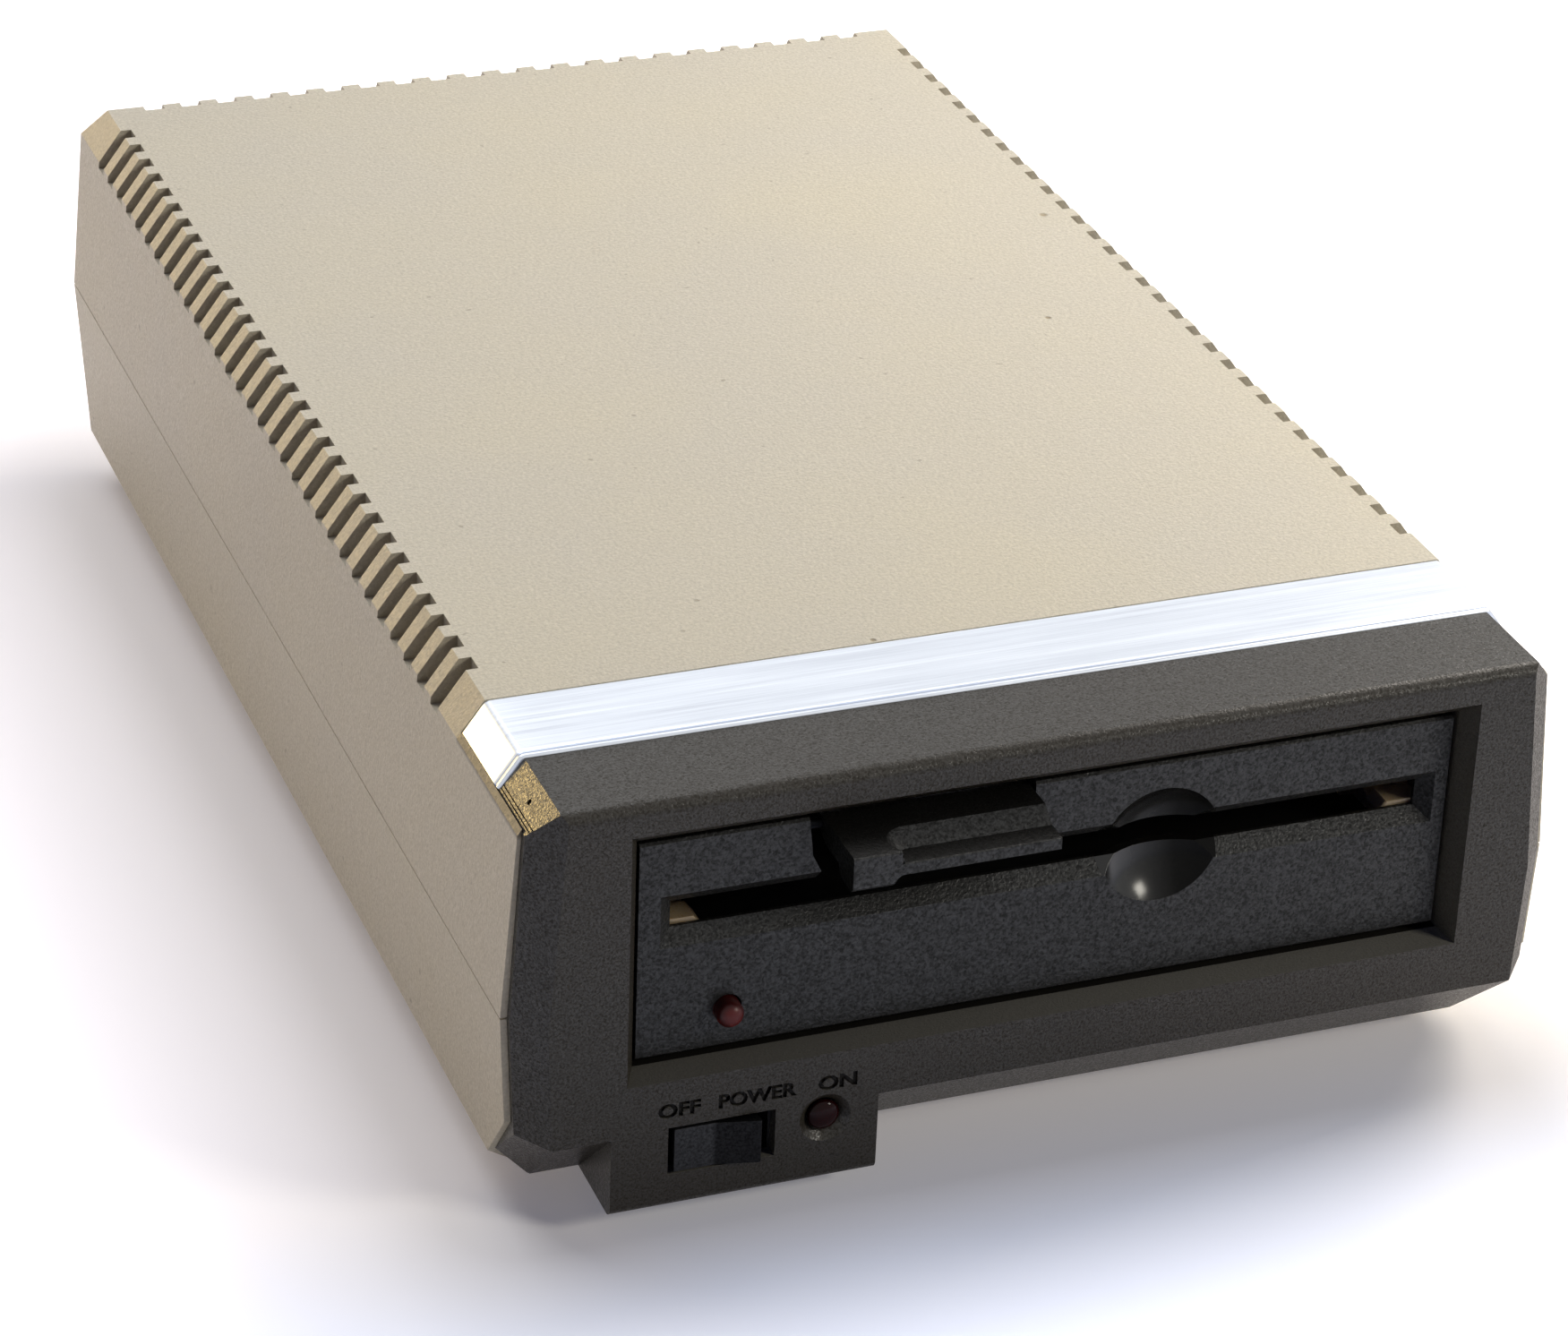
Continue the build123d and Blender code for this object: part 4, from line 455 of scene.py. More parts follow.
def faceplate_plastic():
    """Near-black ABS of the mechanism: a coarse leather grain, polished in the thumb bowl.

    Ledges that lie level are painted browner and darker than upright faces, and faces that look to
    the left are painted darker still: both are painted shade.
    """
    material, tree, shader, place, height, bump = moulded_plastic(
        "abs_black_leather_grain", "#191918", "#1C1C1B", "#0B0B0B", 0.56, 0.16, 0.40, 0.2, 1.34,
        0.55)
    side, depth, _ = add(tree, "SeparateXYZ", {0: place}).node.outputs
    normal = add(tree, "TexCoord", out="Normal")
    to_right, _, to_top = add(tree, "SeparateXYZ", {0: normal}).node.outputs
    # painted shade on level ledges and on faces that look to the left
    level = add(tree, "MapRange", {
        "Value": to_top, "From Min": 0.45, "From Max": 0.95, "To Max": 0.5})
    leftward = add(tree, "MapRange", {
        "Value": to_right, "From Min": -0.2, "From Max": -0.5, "To Max": 0.6})
    color = shader["Base Color"].links[0].from_socket
    color = add(tree, "Mix", {0: level, 6: color, 7: linear("#0A0805")}, out=2, data_type="RGBA")
    color = add(tree, "Mix", {
        0: leftward, 6: color, 7: linear("#050605")}, out=2, data_type="RGBA")
    connect(tree, color, shader["Base Color"])

    # the bowl's inside lies within its rim and behind the face's skin
    rim_radius, skin = 11.3, 0.05
    middle = spot(THUMB_BOWL[0], FACEPLATE_Y + skin, THUMB_BOWL[1])
    flat = add(tree, "VectorMath", {0: place, 1: (1, 0, 1)}, operation="MULTIPLY")
    centre = (middle[0], 0, middle[2])
    away = add(tree, "VectorMath", {0: flat, 1: centre}, out="Value", operation="DISTANCE")
    near = add(tree, "Math", {0: away, 1: rim_radius}, operation="LESS_THAN")
    behind = add(tree, "Math", {0: depth, 1: middle[1]}, operation="GREATER_THAN")
    polished = add(tree, "Math", {0: near, 1: behind}, operation="MULTIPLY")
    grained = shader["Roughness"].links[0].from_socket
    connect(tree, add(tree, "Mix", {0: polished, 2: grained, 3: 0.19}), shader["Roughness"])

    # the bowl mirrors less from its middle to its right, a painted reflection; faces that look to
    # the left mirror less as well
    mirrored = shader["Specular IOR Level"].links[0].from_socket
    kept = add(tree, "Math", {0: 1.0, 1: leftward}, operation="SUBTRACT")
    mirrored = add(tree, "Math", {0: mirrored, 1: kept}, operation="MULTIPLY")
    shine = add(tree, "MapRange", {
        "Value": side, "From Min": THUMB_BOWL[0] - 5, "From Max": THUMB_BOWL[0] + 4,
        "To Min": 0.66, "To Max": 0.10})
    mirrored = add(tree, "Mix", {0: polished, 2: mirrored, 3: shine})
    connect(tree, mirrored, shader["Specular IOR Level"])
    smooth = add(tree, "Mix", {0: polished, 2: height, 3: 0.5})
    connect(tree, smooth, bump.node.inputs["Height"])
    return material


def rocker_nylon():
    """Black nylon of the rocker: its left half is greyer, its pressed right half is painted darker
    as painted shade and mirrors less.
    """
    material, tree, shader, place, _, _ = moulded_plastic(
        "nylon_black_painted_shade", "#0F0F10", "#131315", "#040404", 0.5, 0.05, 0.42, 0.2, 1.36, 0.5)
    ridge = -60.0
    side = add(tree, "SeparateXYZ", {0: place})
    # painted shade: the right half, from the ridge on, is darker and mirrors less
    pressed = add(tree, "MapRange", {
        "Value": side, "From Min": ridge - 0.3, "From Max": ridge + 0.5})
    color = shader["Base Color"].links[0].from_socket
    color = add(tree, "Mix", {0: pressed, 6: color, 7: linear("#050506")}, out=2, data_type="RGBA")
    connect(tree, color, shader["Base Color"])
    mirrored = shader["Specular IOR Level"].links[0].from_socket
    kept = add(tree, "MapRange", {"Value": pressed, "To Min": 1.0, "To Max": 0.4})
    mirrored = add(tree, "Math", {0: mirrored, 1: kept}, operation="MULTIPLY")
    connect(tree, mirrored, shader["Specular IOR Level"])
    return material


def guide_acetal():
    """Natural acetal of the disk guides: milky amber, light goes a little way into it."""
    material, _, shader, _, _, _ = moulded_plastic(
        "acetal_natural_moulded", "#B09C7C", "#9A8768", "#4A3D28", 0.6, 0.02, 0.30, 0.4, 1.48)
    shader["Subsurface Weight"].default_value = 0.45
    shader["Subsurface Radius"].default_value = (1.0, 0.7, 0.4)
    shader["Subsurface Scale"].default_value = 2 * MM
    return material


def worked_metal(name, base, shade, rough, stretch, line_mm, depth_mm):
    """Ground, drawn, cast or plated metal: tool marks along one axis and dull clouds."""
    material, tree, shader, place = new_material(name)
    along = add(tree, "VectorMath", {0: place, 1: stretch}, operation="MULTIPLY")
    marks = add(tree, "TexNoise", {"Vector": along, "Scale": 1 / line_mm, "Detail": 3.0})
    cloud_mm = 12
    clouds = add(tree, "TexNoise", {"Vector": place, "Scale": 1 / cloud_mm, "Detail": 3.0})
    share = add(tree, "MapRange", {"Value": marks, "From Min": 0.3, "From Max": 0.7})
    color = add(tree, "Mix", {0: share, 6: linear(base), 7: linear(shade)}, out=2, data_type="RGBA")
    connect(tree, color, shader["Base Color"])
    shader["Metallic"].default_value = 1.0
    dull = add(tree, "MapRange", {
        "Value": clouds, "From Min": 0.3, "From Max": 0.7,
        "To Min": rough - 0.06, "To Max": rough + 0.08})
    connect(tree, dull, shader["Roughness"])
    bump = add(tree, "Bump", {"Strength": 1.0, "Distance": depth_mm * MM, "Height": marks})
    connect(tree, bump, shader["Normal"])
    return material


def casting_metal():
    """The mechanism's die casting, painted matt black over its front 50 mm behind the slot as
    painted shade.

    Behind the painted shade the bare skin shows, sand-like as a pressure casting's is.
    """
    material = worked_metal(
        "aluminium_die_cast_painted_shade_front", "#A9ABAD", "#838589", 0.48, (1, 1, 1), 0.8, 0.03)
    shade_fades, shade_ends = 48, 52
    tree = material.node_tree
    shader = tree.nodes["Principled BSDF"].inputs
    place = add(tree, "TexCoord", out="Object")
    depth = add(tree, "SeparateXYZ", {0: place}, out=1)
    # painted shade: black over the front, bare metal behind
    bare = add(tree, "MapRange", {
        "Value": depth, "From Min": depth_at(shade_fades) * MM,
        "From Max": depth_at(shade_ends) * MM})
    color = shader["Base Color"].links[0].from_socket
    color = add(tree, "Mix", {0: bare, 6: linear("#0A0A0A"), 7: color}, out=2, data_type="RGBA")
    connect(tree, color, shader["Base Color"])
    connect(tree, bare, shader["Metallic"])
    shader["Specular IOR Level"].default_value = 0.2
    return material


def band_metal():
    """Brushed, clear-anodised aluminium: fine lines that run round the front, a cold sheen.

    The lines are 0.25 mm apart, coarser than real brushing, so that they show.
    """
    material, tree, shader, _ = new_material("aluminium_brushed")
    way = add(tree, "UVMap", uv_map="along_band")
    lines = add(tree, "VectorMath", {0: way, 1: (9, 1000, 0)}, operation="MULTIPLY")
    fine = add(tree, "TexNoise", {"Vector": lines, "Scale": 4.0, "Detail": 4.0, "Roughness": 0.65})
    wide = add(tree, "TexNoise", {"Vector": lines, "Scale": 0.7, "Detail": 2.0})
    both = add(tree, "Mix", {0: 0.4, 2: fine, 3: wide})
    # a painted shadow line in the hollow behind the rolled lip
    hollow_way, hollow_half = 1.65 * MM, 0.35 * MM
    over = add(tree, "SeparateXYZ", {0: way}, out=1)
    hollow = add(tree, "Math", {0: over, 1: hollow_way, 2: hollow_half}, operation="COMPARE")
    share = add(tree, "MapRange", {"Value": both, "From Min": 0.35, "From Max": 0.65})
    color = add(tree, "Mix", {
        0: share, 6: linear("#BABFC8"), 7: linear("#D4D9E0")}, out=2, data_type="RGBA")
    color = add(tree, "Mix", {0: hollow, 6: color, 7: linear("#9BA3B4")}, out=2, data_type="RGBA")
    connect(tree, color, shader["Base Color"])
    shader["Metallic"].default_value = 1.0
    dull = add(tree, "MapRange", {
        "Value": both, "From Min": 0.3, "From Max": 0.7, "To Min": 0.26, "To Max": 0.42})
    connect(tree, dull, shader["Roughness"])
    bump = add(tree, "Bump", {"Strength": 1.0, "Distance": 0.012 * MM, "Height": both})
    connect(tree, bump, shader["Normal"])
    return material


def lamp_epoxy(name, deep, pale, tip_y, rough, mirrored):
    """Tinted epoxy of a lamp that is out: deep at its foot, painted paler over its tip's last 1.1
    mm as painted light.
    """
    material, tree, shader, place = new_material(name)
    haze_mm, haze_share, tip = 1.1, 0.3, depth_at(tip_y)
    haze = add(tree, "TexNoise", {"Vector": place, "Scale": 1 / haze_mm, "Detail": 2.0})
    depth = add(tree, "SeparateXYZ", {0: place}, out=1)
    share = add(tree, "MapRange", {
        "Value": depth, "From Min": tip + 1.1, "From Max": tip + 0.1},
        interpolation_type="SMOOTHSTEP")
    share = add(tree, "Math", {0: haze, 1: haze_share, 2: share}, operation="MULTIPLY_ADD")
    color = add(tree, "Mix", {0: share, 6: linear(deep), 7: linear(pale)}, out=2, data_type="RGBA")
    connect(tree, color, shader["Base Color"])
    shader["IOR"].default_value = 1.5
    shader["Specular IOR Level"].default_value = mirrored
    shader["Roughness"].default_value = rough
    return material


def make_materials():
    """Every finish of the object, by the name of its slot in the record."""
    return {
        "tan_abs": case_plastic(),
        "bezel_abs": bezel_plastic(),
        "face_abs": faceplate_plastic(),
        # satin black nylon from a polished tool
        "switch_black": moulded_plastic(
            "nylon_black_moulded", "#0B0B0C", "#0E0E10", "#040404", 0.5, 0.05, 0.42, 0.2, 1.36,
            0.4)[0],
        "brushed_strip": band_metal(),
        "cast_alloy": casting_metal(),
        # fine ground lines that run from front to back, as the rods do
        "steel": worked_metal(
            "steel_ground", "#B5B6B8", "#8F9092", 0.30, (1, 0.05, 1), 0.3, 0.008),
        # faint yellow of passivated zinc
        "screw_zinc": worked_metal(
            "steel_zinc_plated", "#C2BEA9", "#948F78", 0.34, (1, 1, 1), 0.5, 0.01),
        # warm grey of tin over brass
        "contact_metal": worked_metal(
            "brass_tin_plated", "#CFCBB8", "#A39E86", 0.25, (1, 1, 1), 0.5, 0.005),
        # satin black with upright drawing lines
        "sink_black": worked_metal(
            "aluminium_black_anodised", "#2A2B2E", "#1B1C1E", 0.40, (1, 1, 0.1), 0.4, 0.01),
        "guide_plastic": guide_acetal(),
        # matt and faintly dusty
        "belt_rubber": moulded_plastic(
            "rubber_ground", "#1C1B1A", "#242220", "#0B0A0A", 0.4, 0.03, 0.75, 0.2)[0],
        # matt, with grey dust in its corners
        "foot_rubber": moulded_plastic(
            "rubber_moulded", "#232220", "#2C2A27", "#4A463F", 0.7, 0.04, 0.72, 0.3)[0],
        # glossy green lacquer over woven glass
        "board_green": moulded_plastic(
            "epoxy_glass_green_lacquered", "#1F5A34", "#2A6B3E", "#0D2A17", 1.2, 0.03, 0.28,
            0.3)[0],
        # dull black with a fine sand-blasted grain
        "chip_black": moulded_plastic(
            "epoxy_black_moulded", "#1A1A1B", "#222223", "#0A0A0A", 0.4, 0.02, 0.5, 0.2)[0],
        # shiny blue sleeve shrunk over the can
        "can_sleeve": moulded_plastic(
            "vinyl_blue_shrunk", "#1B2A55", "#22336A", "#0B1024", 2.0, 0.02, 0.26, 0.2)[0],
        # satin dark grey around the contacts
        "socket_plastic": moulded_plastic(
            "nylon_dark_moulded", "#1F1E1D", "#262523", "#0A0A0A", 0.5, 0.03, 0.42, 0.3)[0],
        # dark, nearly black red with a sharp highlight
        "lamp_red": lamp_epoxy(
            "epoxy_red_clear", "#1C0202", "#220303", BEZEL_FACE_Y, 0.05, 0.09),
    }


# ---------------------------------------------------------------------------
# Dressed copies of the frame's nodes
# ---------------------------------------------------------------------------

def add_piece(name, mesh, material, body, *replaced):
    """Links a mesh as a piece that rides on a body and stands for the named nodes."""
    mesh.materials.clear()
    mesh.materials.append(material)
    piece = bpy.data.objects.new(name, mesh)
    bpy.context.scene.collection.objects.link(piece)
    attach(piece, body)
    if replaced:
        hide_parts(*replaced)
    return piece


def welded(node, name):
    """A copy of a node's mesh: points merged, flat faces made whole, corners marked sharp."""
    work_mesh = bmesh.new()
    work_mesh.from_mesh(nodes[node].data)
    bmesh.ops.remove_doubles(work_mesh, verts=work_mesh.verts, dist=2e-6)
    bmesh.ops.dissolve_limit(
        work_mesh, angle_limit=math.radians(0.6), verts=work_mesh.verts, edges=work_mesh.edges,
        delimit={"NORMAL"})
    mark_corners(work_mesh, CORNER_ANGLE)
    mesh = bpy.data.meshes.new(name)
    work_mesh.to_mesh(mesh)
    work_mesh.free()
    return mesh


def reshaped(mesh, rule):
    """Moves a mesh's points by a rule that works on their places in the case's axes."""
    points = np.empty(len(mesh.vertices) * 3)
    mesh.vertices.foreach_get("co", points)
    points = points.reshape(-1, 3) / MM - CASE_ORIGIN
    mesh.vertices.foreach_set("co", placed(rule(points)).ravel())


def longer_facets(points):
    """The fins beside the band thin out: their inner top edge slides down to the band's end."""
    edge_x, edge_z, end_x, end_z, slack = 91.06, 35.92, 91.62, 35.16, 0.03
    x, z = np.abs(points[:, 0]), points[:, 2]
    inner = (np.abs(x - edge_x) < slack) & (np.abs(z - edge_z) < slack)
    points[inner, 0] = np.sign(points[inner, 0]) * end_x
    points[inner, 2] = end_z
    return points


def raised_top(points):
    """The bezel's top face and both its sloping facets stand 0.7 mm higher.

    Each facet's outer edge also stands 0.4 mm farther out, against the lid's fin.
    """
    lift, farther_x, farther_z = 0.7, 0.36, 0.25
    x, z = np.abs(points[:, 0]), points[:, 2].copy()
    facets = (x > 86.5) & (z > 33.0)
    outer = (x > 90.8) & (z > 33.0)
    points[(z > 36.9) | facets, 2] += lift
    points[outer, 0] += np.sign(points[outer, 0]) * farther_x
    points[outer, 2] += farther_z
    return points


def sloped_scoop(points):
    """The finger scoop's upright walls lean back: its floor's edge moves in by up to 3.3 mm.

    The floor keeps 0.566 of its depth, measured from the lever's front, and its left end moves
    in by 1 mm.
    """
    floor_z, front_y, kept_share = 26.7, -14.8, 0.566
    floor = (np.abs(points[:, 2] - floor_z) < 0.06) & (points[:, 1] < -7.0)
    points[floor, 1] = front_y + (points[floor, 1] - front_y) * kept_share
    points[floor, 0] += np.clip((-28.9 - points[floor, 0]) / 4.3, 0, 1)
    return points


def closer_edge(points):
    """The mechanism's face is 0.35 mm nearer to the recess at its left."""
    left_edge, nearer = -71.9, 0.35
    points[points[:, 0] < left_edge, 0] -= nearer
    return points


def shorter_end(points):
    """The rocker's left half is drawn in by up to 0.45 mm, so that it clears the window's end."""
    start_x, stretch, most = -63.0, 4.4, 0.45
    points[:, 0] += most * np.clip((start_x - points[:, 0]) / stretch, 0, 1)
    return points


def mark_corners(work_mesh, degrees):
    """Smooth shading everywhere but over the edges that turn by more than the angle."""
    for edge in work_mesh.edges:
        if len(edge.link_faces) == 2:
            edge.smooth = edge.calc_face_angle(0) < math.radians(degrees)
    for face in work_mesh.faces:
        face.smooth = True


def rounded(piece, round_mm):
    """The small rounds that a mould leaves on every corner."""
    bevel = piece.modifiers.new("rounds", "BEVEL")
    bevel.width = round_mm * MM
    bevel.segments = ROUND_STEPS
    bevel.limit_method = "ANGLE"
    bevel.angle_limit = math.radians(CORNER_ANGLE)
    bevel.use_clamp_overlap = True
    bevel.miter_outer = "MITER_ARC"
    bevel.harden_normals = True


def dressed(node, name, material, round_mm, body="case", rule=None):
    """A welded copy of a node with rounded edges, in place of the node."""
    piece = add_piece(name, welded(node, name), material, body, node)
    if rule:
        reshaped(piece.data, rule)
    rounded(piece, round_mm)
    return piece


def letter_solids():
    """The words as one mesh of solid letters that reach from before the bezel into its skin."""
    before, fatter = 1.0, 0.045
    solids = bmesh.new()
    for word, left, low, width in WORDS:
        data = bpy.data.curves.new("word", "FONT")
        data.body = word
        data.size = 1.0
        data.extrude = 0.5
        data.offset = fatter
        data.resolution_u = 3
        text = bpy.data.objects.new("word", data)
        bpy.context.scene.collection.objects.link(text)
        view = bpy.context.evaluated_depsgraph_get()
        mesh = bpy.data.meshes.new_from_object(text.evaluated_get(view))
        points = np.array([v.co for v in mesh.vertices])
        low_corner, high_corner = points.min(0), points.max(0)
        share = (points - low_corner) / (high_corner - low_corner)
        spread = np.stack([
            left + share[:, 0] * width,
            BEZEL_FACE_Y - before + (1 - share[:, 2]) * (before + LETTER_DEPTH),
            low + share[:, 1] * LETTER_HEIGHT], axis=1)
        mesh.vertices.foreach_set("co", placed(spread).ravel())
        solids.from_mesh(mesh)
        bpy.data.objects.remove(text)
        bpy.data.meshes.remove(mesh)
    bmesh.ops.remove_doubles(solids, verts=solids.verts, dist=1e-6)
    bmesh.ops.recalc_face_normals(solids, faces=solids.faces)
    mesh = bpy.data.meshes.new("cutter")
    solids.to_mesh(mesh)
    solids.free()
    return mesh


def cut_lettering(piece):
    """Cuts the words into the front face of a piece: the letters leave its rounded mesh."""
    cutter = bpy.data.objects.new("cutter", letter_solids())
    bpy.context.scene.collection.objects.link(cutter)
    cut = piece.modifiers.new("lettering", "BOOLEAN")
    cut.operation = "DIFFERENCE"
    cut.solver = "EXACT"
    cut.use_self = True
    cut.object = cutter
    view = bpy.context.evaluated_depsgraph_get()
    cut_mesh = bpy.data.meshes.new_from_object(piece.evaluated_get(view))
    piece.modifiers.clear()
    cut_mesh.validate()
    piece.data = cut_mesh
    bpy.data.objects.remove(cutter)
    work_mesh = bmesh.new()
    work_mesh.from_mesh(cut_mesh)
    mark_corners(work_mesh, degrees=40)
    work_mesh.to_mesh(cut_mesh)
    work_mesh.free()
    weight = piece.modifiers.new("flat_faces", "WEIGHTED_NORMAL")
    weight.keep_sharp = True
    weight.weight = 80


# ---------------------------------------------------------------------------
# Surfaces of their own
# ---------------------------------------------------------------------------

def ring_mesh(name, points, uv=None):
    """Quads over an array of rows x columns x 3 points in the case's axes, each row a ring."""
    rows, columns, _ = points.shape
    index = np.arange(rows * columns).reshape(rows, columns)
    index = np.concatenate([index, index[:, :1]], axis=1)
    quads = np.stack([index[:-1, :-1], index[:-1, 1:], index[1:, 1:], index[1:, :-1]], axis=-1)
    quads = quads.reshape(-1, 4)
    mesh = bpy.data.meshes.new(name)
    mesh.from_pydata(placed(points).reshape(-1, 3).tolist(), [], quads.tolist())
    if uv is not None:
        layer = mesh.uv_layers.new(name="along_band")
        layer.data.foreach_set("uv", uv.reshape(-1, 2)[quads.ravel()].ravel())
    mesh.polygons.foreach_set("use_smooth", np.ones(len(mesh.polygons), dtype=bool))
    return mesh


def closed(mesh, degrees):
    """Merges doubled points at the poles, turns every face outwards and marks the corners."""
    work_mesh = bmesh.new()
    work_mesh.from_mesh(mesh)
    bmesh.ops.remove_doubles(work_mesh, verts=work_mesh.verts, dist=1e-6)
    bmesh.ops.dissolve_degenerate(work_mesh, edges=work_mesh.edges, dist=1e-7)
    bmesh.ops.recalc_face_normals(work_mesh, faces=work_mesh.faces)
    mark_corners(work_mesh, degrees)
    work_mesh.to_mesh(mesh)
    work_mesh.free()
    return mesh


def band_path(bend_radius, bend_steps, flat_steps):
    """The line that the band follows over the case front, with its outward direction.

    Straight runs between the left end, both top corners and the right end, joined by arcs of
    the bend radius: centre + radius * direction, the direction turning evenly.
    """
    corners = np.array([
        (-BAND_END[0], BAND_END[1]), (-TOP_HALF, TOP_Z), (TOP_HALF, TOP_Z), BAND_END])
    runs = np.diff(corners, axis=0)
    runs /= np.linalg.norm(runs, axis=1)[:, None]
    outward = np.stack([-runs[:, 1], runs[:, 0]], axis=1)
    places, facing = [corners[:1]], [outward[:1]]
    for i in (0, 1):
        turn = math.acos(float(runs[i] @ runs[i + 1]))
        back = bend_radius * math.tan(turn / 2)
        share = np.linspace(0, 1, bend_steps + 1)[:, None]
        angle = np.arctan2(outward[i, 1], outward[i, 0]) - share * turn
        direction = np.concatenate([np.cos(angle), np.sin(angle)], axis=1)
        centre = corners[i + 1] - runs[i] * back - outward[i] * bend_radius
        places.append(centre + direction * bend_radius)
        facing.append(direction)
        if i == 0:
            inner = np.linspace(-TOP_HALF + back, TOP_HALF - back, flat_steps + 2)[1:-1]
            places.append(np.stack([inner, np.full_like(inner, TOP_Z)], axis=1))
            facing.append(np.tile(outward[1], (len(inner), 1)))
    places.append(corners[3:])
    facing.append(outward[2:])
    return np.concatenate(places), np.concatenate(facing)


def make_band(material):
    """The metal band: a section carried along the path over the case front.

    The section gives, for each depth from the band's front edge, how far the skin stands below
    the outer surface: a rolled lip at the front, a shallow channel behind it, a flat field and a
    rounded rear edge. Each surface point is the path's point minus the outward direction times
    that drop, at the section's depth.
    """
    quarter = np.linspace(0, math.pi / 2, 5)
    lip = 0.60
    width = BAND_BACK - BAND_FRONT
    lip_front = np.stack([lip - lip * np.cos(quarter), lip - lip * np.sin(quarter)], axis=1)
    channel = np.array([
        (0.80, 0.05), (1.00, 0.17), (1.25, 0.22), (1.55, 0.15), (1.85, 0.04), (2.10, 0.0)])
    field = np.stack([np.linspace(2.6, width - 1.0, 8), np.zeros(8)], axis=1)
    rear_round = 0.5
    rear = np.stack([
        width - rear_round + rear_round * np.sin(quarter),
        rear_round - rear_round * np.cos(quarter)], axis=1)
    bottom = np.array([(width, BAND_WALL), (0.0, BAND_WALL)])
    section = np.concatenate([lip_front, channel, field, rear, bottom])
    places, facing = band_path(bend_radius=1.6, bend_steps=6, flat_steps=30)
    steps = np.linalg.norm(np.diff(places, axis=0), axis=1)
    length = np.concatenate([[0], np.cumsum(steps)])
    drop = section[:, 1]
    points = np.empty((len(places), len(section), 3))
    points[:, :, 0] = places[:, :1] - facing[:, :1] * drop
    points[:, :, 1] = BAND_FRONT + section[:, 0]
    points[:, :, 2] = places[:, 1:] - facing[:, 1:] * drop
    # each end narrows to a closed cap
    caps = points.mean(axis=1, keepdims=True)[[0, -1]]
    caps = np.repeat(caps, len(section), axis=1)
    points = np.concatenate([caps[:1], points, caps[1:]])
    length = np.concatenate([length[:1], length, length[-1:]])
    across = np.concatenate([[0], np.cumsum(np.linalg.norm(np.diff(section, axis=0), axis=1))])
    uv = np.stack(np.meshgrid(length * MM, across * MM, indexing="ij"), axis=-1)
    mesh = closed(ring_mesh("front_band", points, uv), degrees=35)
    return add_piece("front_band", mesh, material, "case", "trim_strip")


def turned_mesh(name, profile, x, y, z):
    """A profile of (radius, forward) points swung round an axis that runs to the front.

    Each point lies at x + radius * cos(angle), y - forward, z + radius * sin(angle), for 40
    even angles of a whole turn.
    """
    steps = 40
    angle = np.linspace(0, 2 * math.pi, steps, endpoint=False)
    points = np.empty((len(profile), steps, 3))
    points[:, :, 0] = x + profile[:, :1] * np.cos(angle)
    points[:, :, 1] = y - profile[:, 1:]
    points[:, :, 2] = z + profile[:, :1] * np.sin(angle)
    return closed(ring_mesh(name, points), degrees=40)


def lamp_profile(radius, dome_radius, dome_height, reach, behind):
    """A lamp's outline: flange, cylinder and a dome that is a quarter of an ellipse.

    The dome's points are dome_radius * cos(a) across and reach - dome_height * (1 - sin(a))
    forward, for a from 0 to 90 degrees.
    """
    flange, flange_radius, neck = 1.0, radius + 0.5, 0.35
    quarter = np.linspace(0, math.pi / 2, 12)
    forward = reach - dome_height * (1 - np.sin(quarter))
    dome = np.stack([dome_radius * np.cos(quarter), forward], axis=1)
    dome[-1, 0] = 0.0
    foot = [
        (0, -behind), (flange_radius, -behind), (flange_radius, -behind + flange),
        (radius, -behind + flange), (radius, reach - dome_height - neck)]
    return np.concatenate([np.array(foot), dome])


def make_lamps(finish):
    """Two lamps: a dark one sunk in its countersink, a milky one that stands proud."""
    x, z = POWER_LAMP
    profile = lamp_profile(
        radius=2.42, dome_radius=2.85, dome_height=1.3, reach=0.1, behind=4.0)
    mesh = turned_mesh("power_lamp", profile, x, BEZEL_FACE_Y - 0.1, z)
    add_piece("power_lamp", mesh, finish["lamp_red"], "case", "power_led")
    # dull brick red, its tip painted paler as painted light
    milky = lamp_epoxy("epoxy_red_diffused", "#2E0504", "#571D1C", BUSY_TIP_Y, 0.34, 0.2)
    x, z = BUSY_LAMP
    profile = lamp_profile(
        radius=2.38, dome_radius=2.38, dome_height=1.9, reach=FACEPLATE_Y - BUSY_TIP_Y,
        behind=4.0)
    mesh = turned_mesh("busy_lamp", profile, x, FACEPLATE_Y, z)
    add_piece("busy_lamp", mesh, milky, "case", "busy_led")


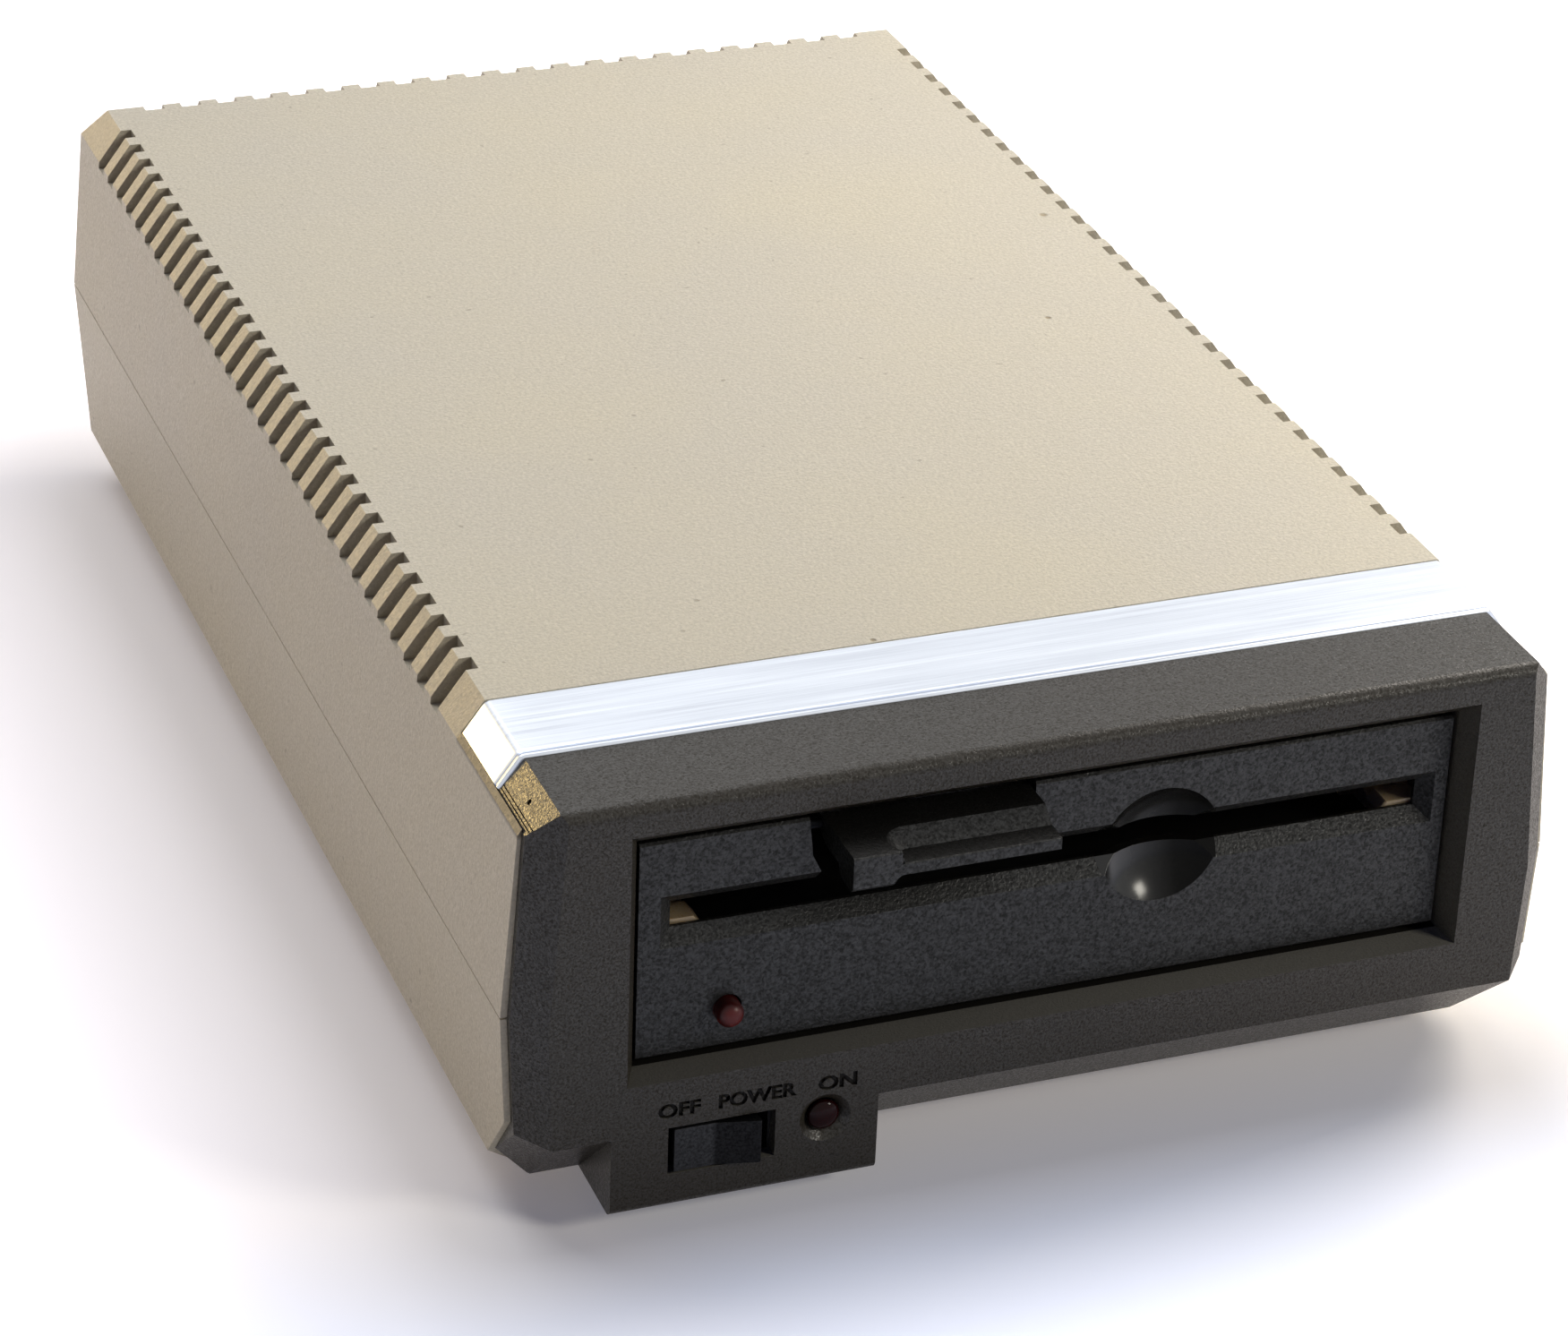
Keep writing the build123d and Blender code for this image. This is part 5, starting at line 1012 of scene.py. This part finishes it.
def make_guide_tips(material):
    """The forward tips of both disk guides: low blocks with a chamfered inner top corner.

    Each is a rounded prism: its section in X and Z is carried from the front face to the back,
    with the front ring drawn in by the size of the round.
    """
    section = np.array([(0, 0), (8.6, 0), (8.6, 1.5), (7.2, 3.2), (0, 3.2)])
    floor_z = 9.45
    middle = section.mean(axis=0)
    # depth of each ring and the share of the full section that it has
    depths = np.array([(1.6, 0.86), (1.72, 0.95), (1.95, 1.0), (6.5, 1.0)])
    for name, x, sign in (("guide_tip_left", -68.7, 1), ("guide_tip_right", 71.9, -1)):
        rings = []
        for depth, share in depths:
            ring = middle + (section - middle) * share
            rings.append(np.stack([
                x + sign * ring[:, 0], np.full(len(ring), depth), floor_z + ring[:, 1]], axis=1))
        # a point at each end, as many times as a ring has corners, closes the prism
        front, back = (np.tile(ring.mean(0), (len(ring), 1)) for ring in (rings[0], rings[-1]))
        mesh = closed(ring_mesh(name, np.array([front, *rings, back])), degrees=30)
        add_piece(name, mesh, material, "case")


def main():
    make_camera()
    make_floor()
    make_light()
    finish = make_materials()
    slots = {s["node"]: s["material_slot"] for s in frame["record"]["subparts"]}
    for name, node in nodes.items():
        node.data.materials.clear()
        node.data.materials.append(finish[slots[name]])
    dressed("top_cover", "lid_moulding", finish["tan_abs"], 0.35, rule=longer_facets)
    dressed("bottom_cover", "base_moulding", finish["tan_abs"], 0.35)
    make_band(finish["brushed_strip"])
    bezel = dressed("front_bezel", "bezel_moulding", finish["bezel_abs"], 0.4, rule=raised_top)
    cut_lettering(bezel)
    dressed("drive_faceplate", "mechanism_face", finish["face_abs"], 0.3, rule=closer_edge)
    dressed(
        "door_lever", "lever_moulding", finish["face_abs"], 0.25, "door_lever", sloped_scoop)
    dressed("power_rocker", "rocker_cap", rocker_nylon(), 0.45, "power_rocker", shorter_end)
    make_lamps(finish)
    make_guide_tips(finish["guide_plastic"])
    # blackened against reflections, as it shows beside the lever
    blackened = worked_metal(
        "steel_blackened", "#1A1B1D", "#101112", 0.42, (0.05, 1, 1), 0.3, 0.008)
    nodes["lever_shaft"].data.materials[0] = blackened


main()
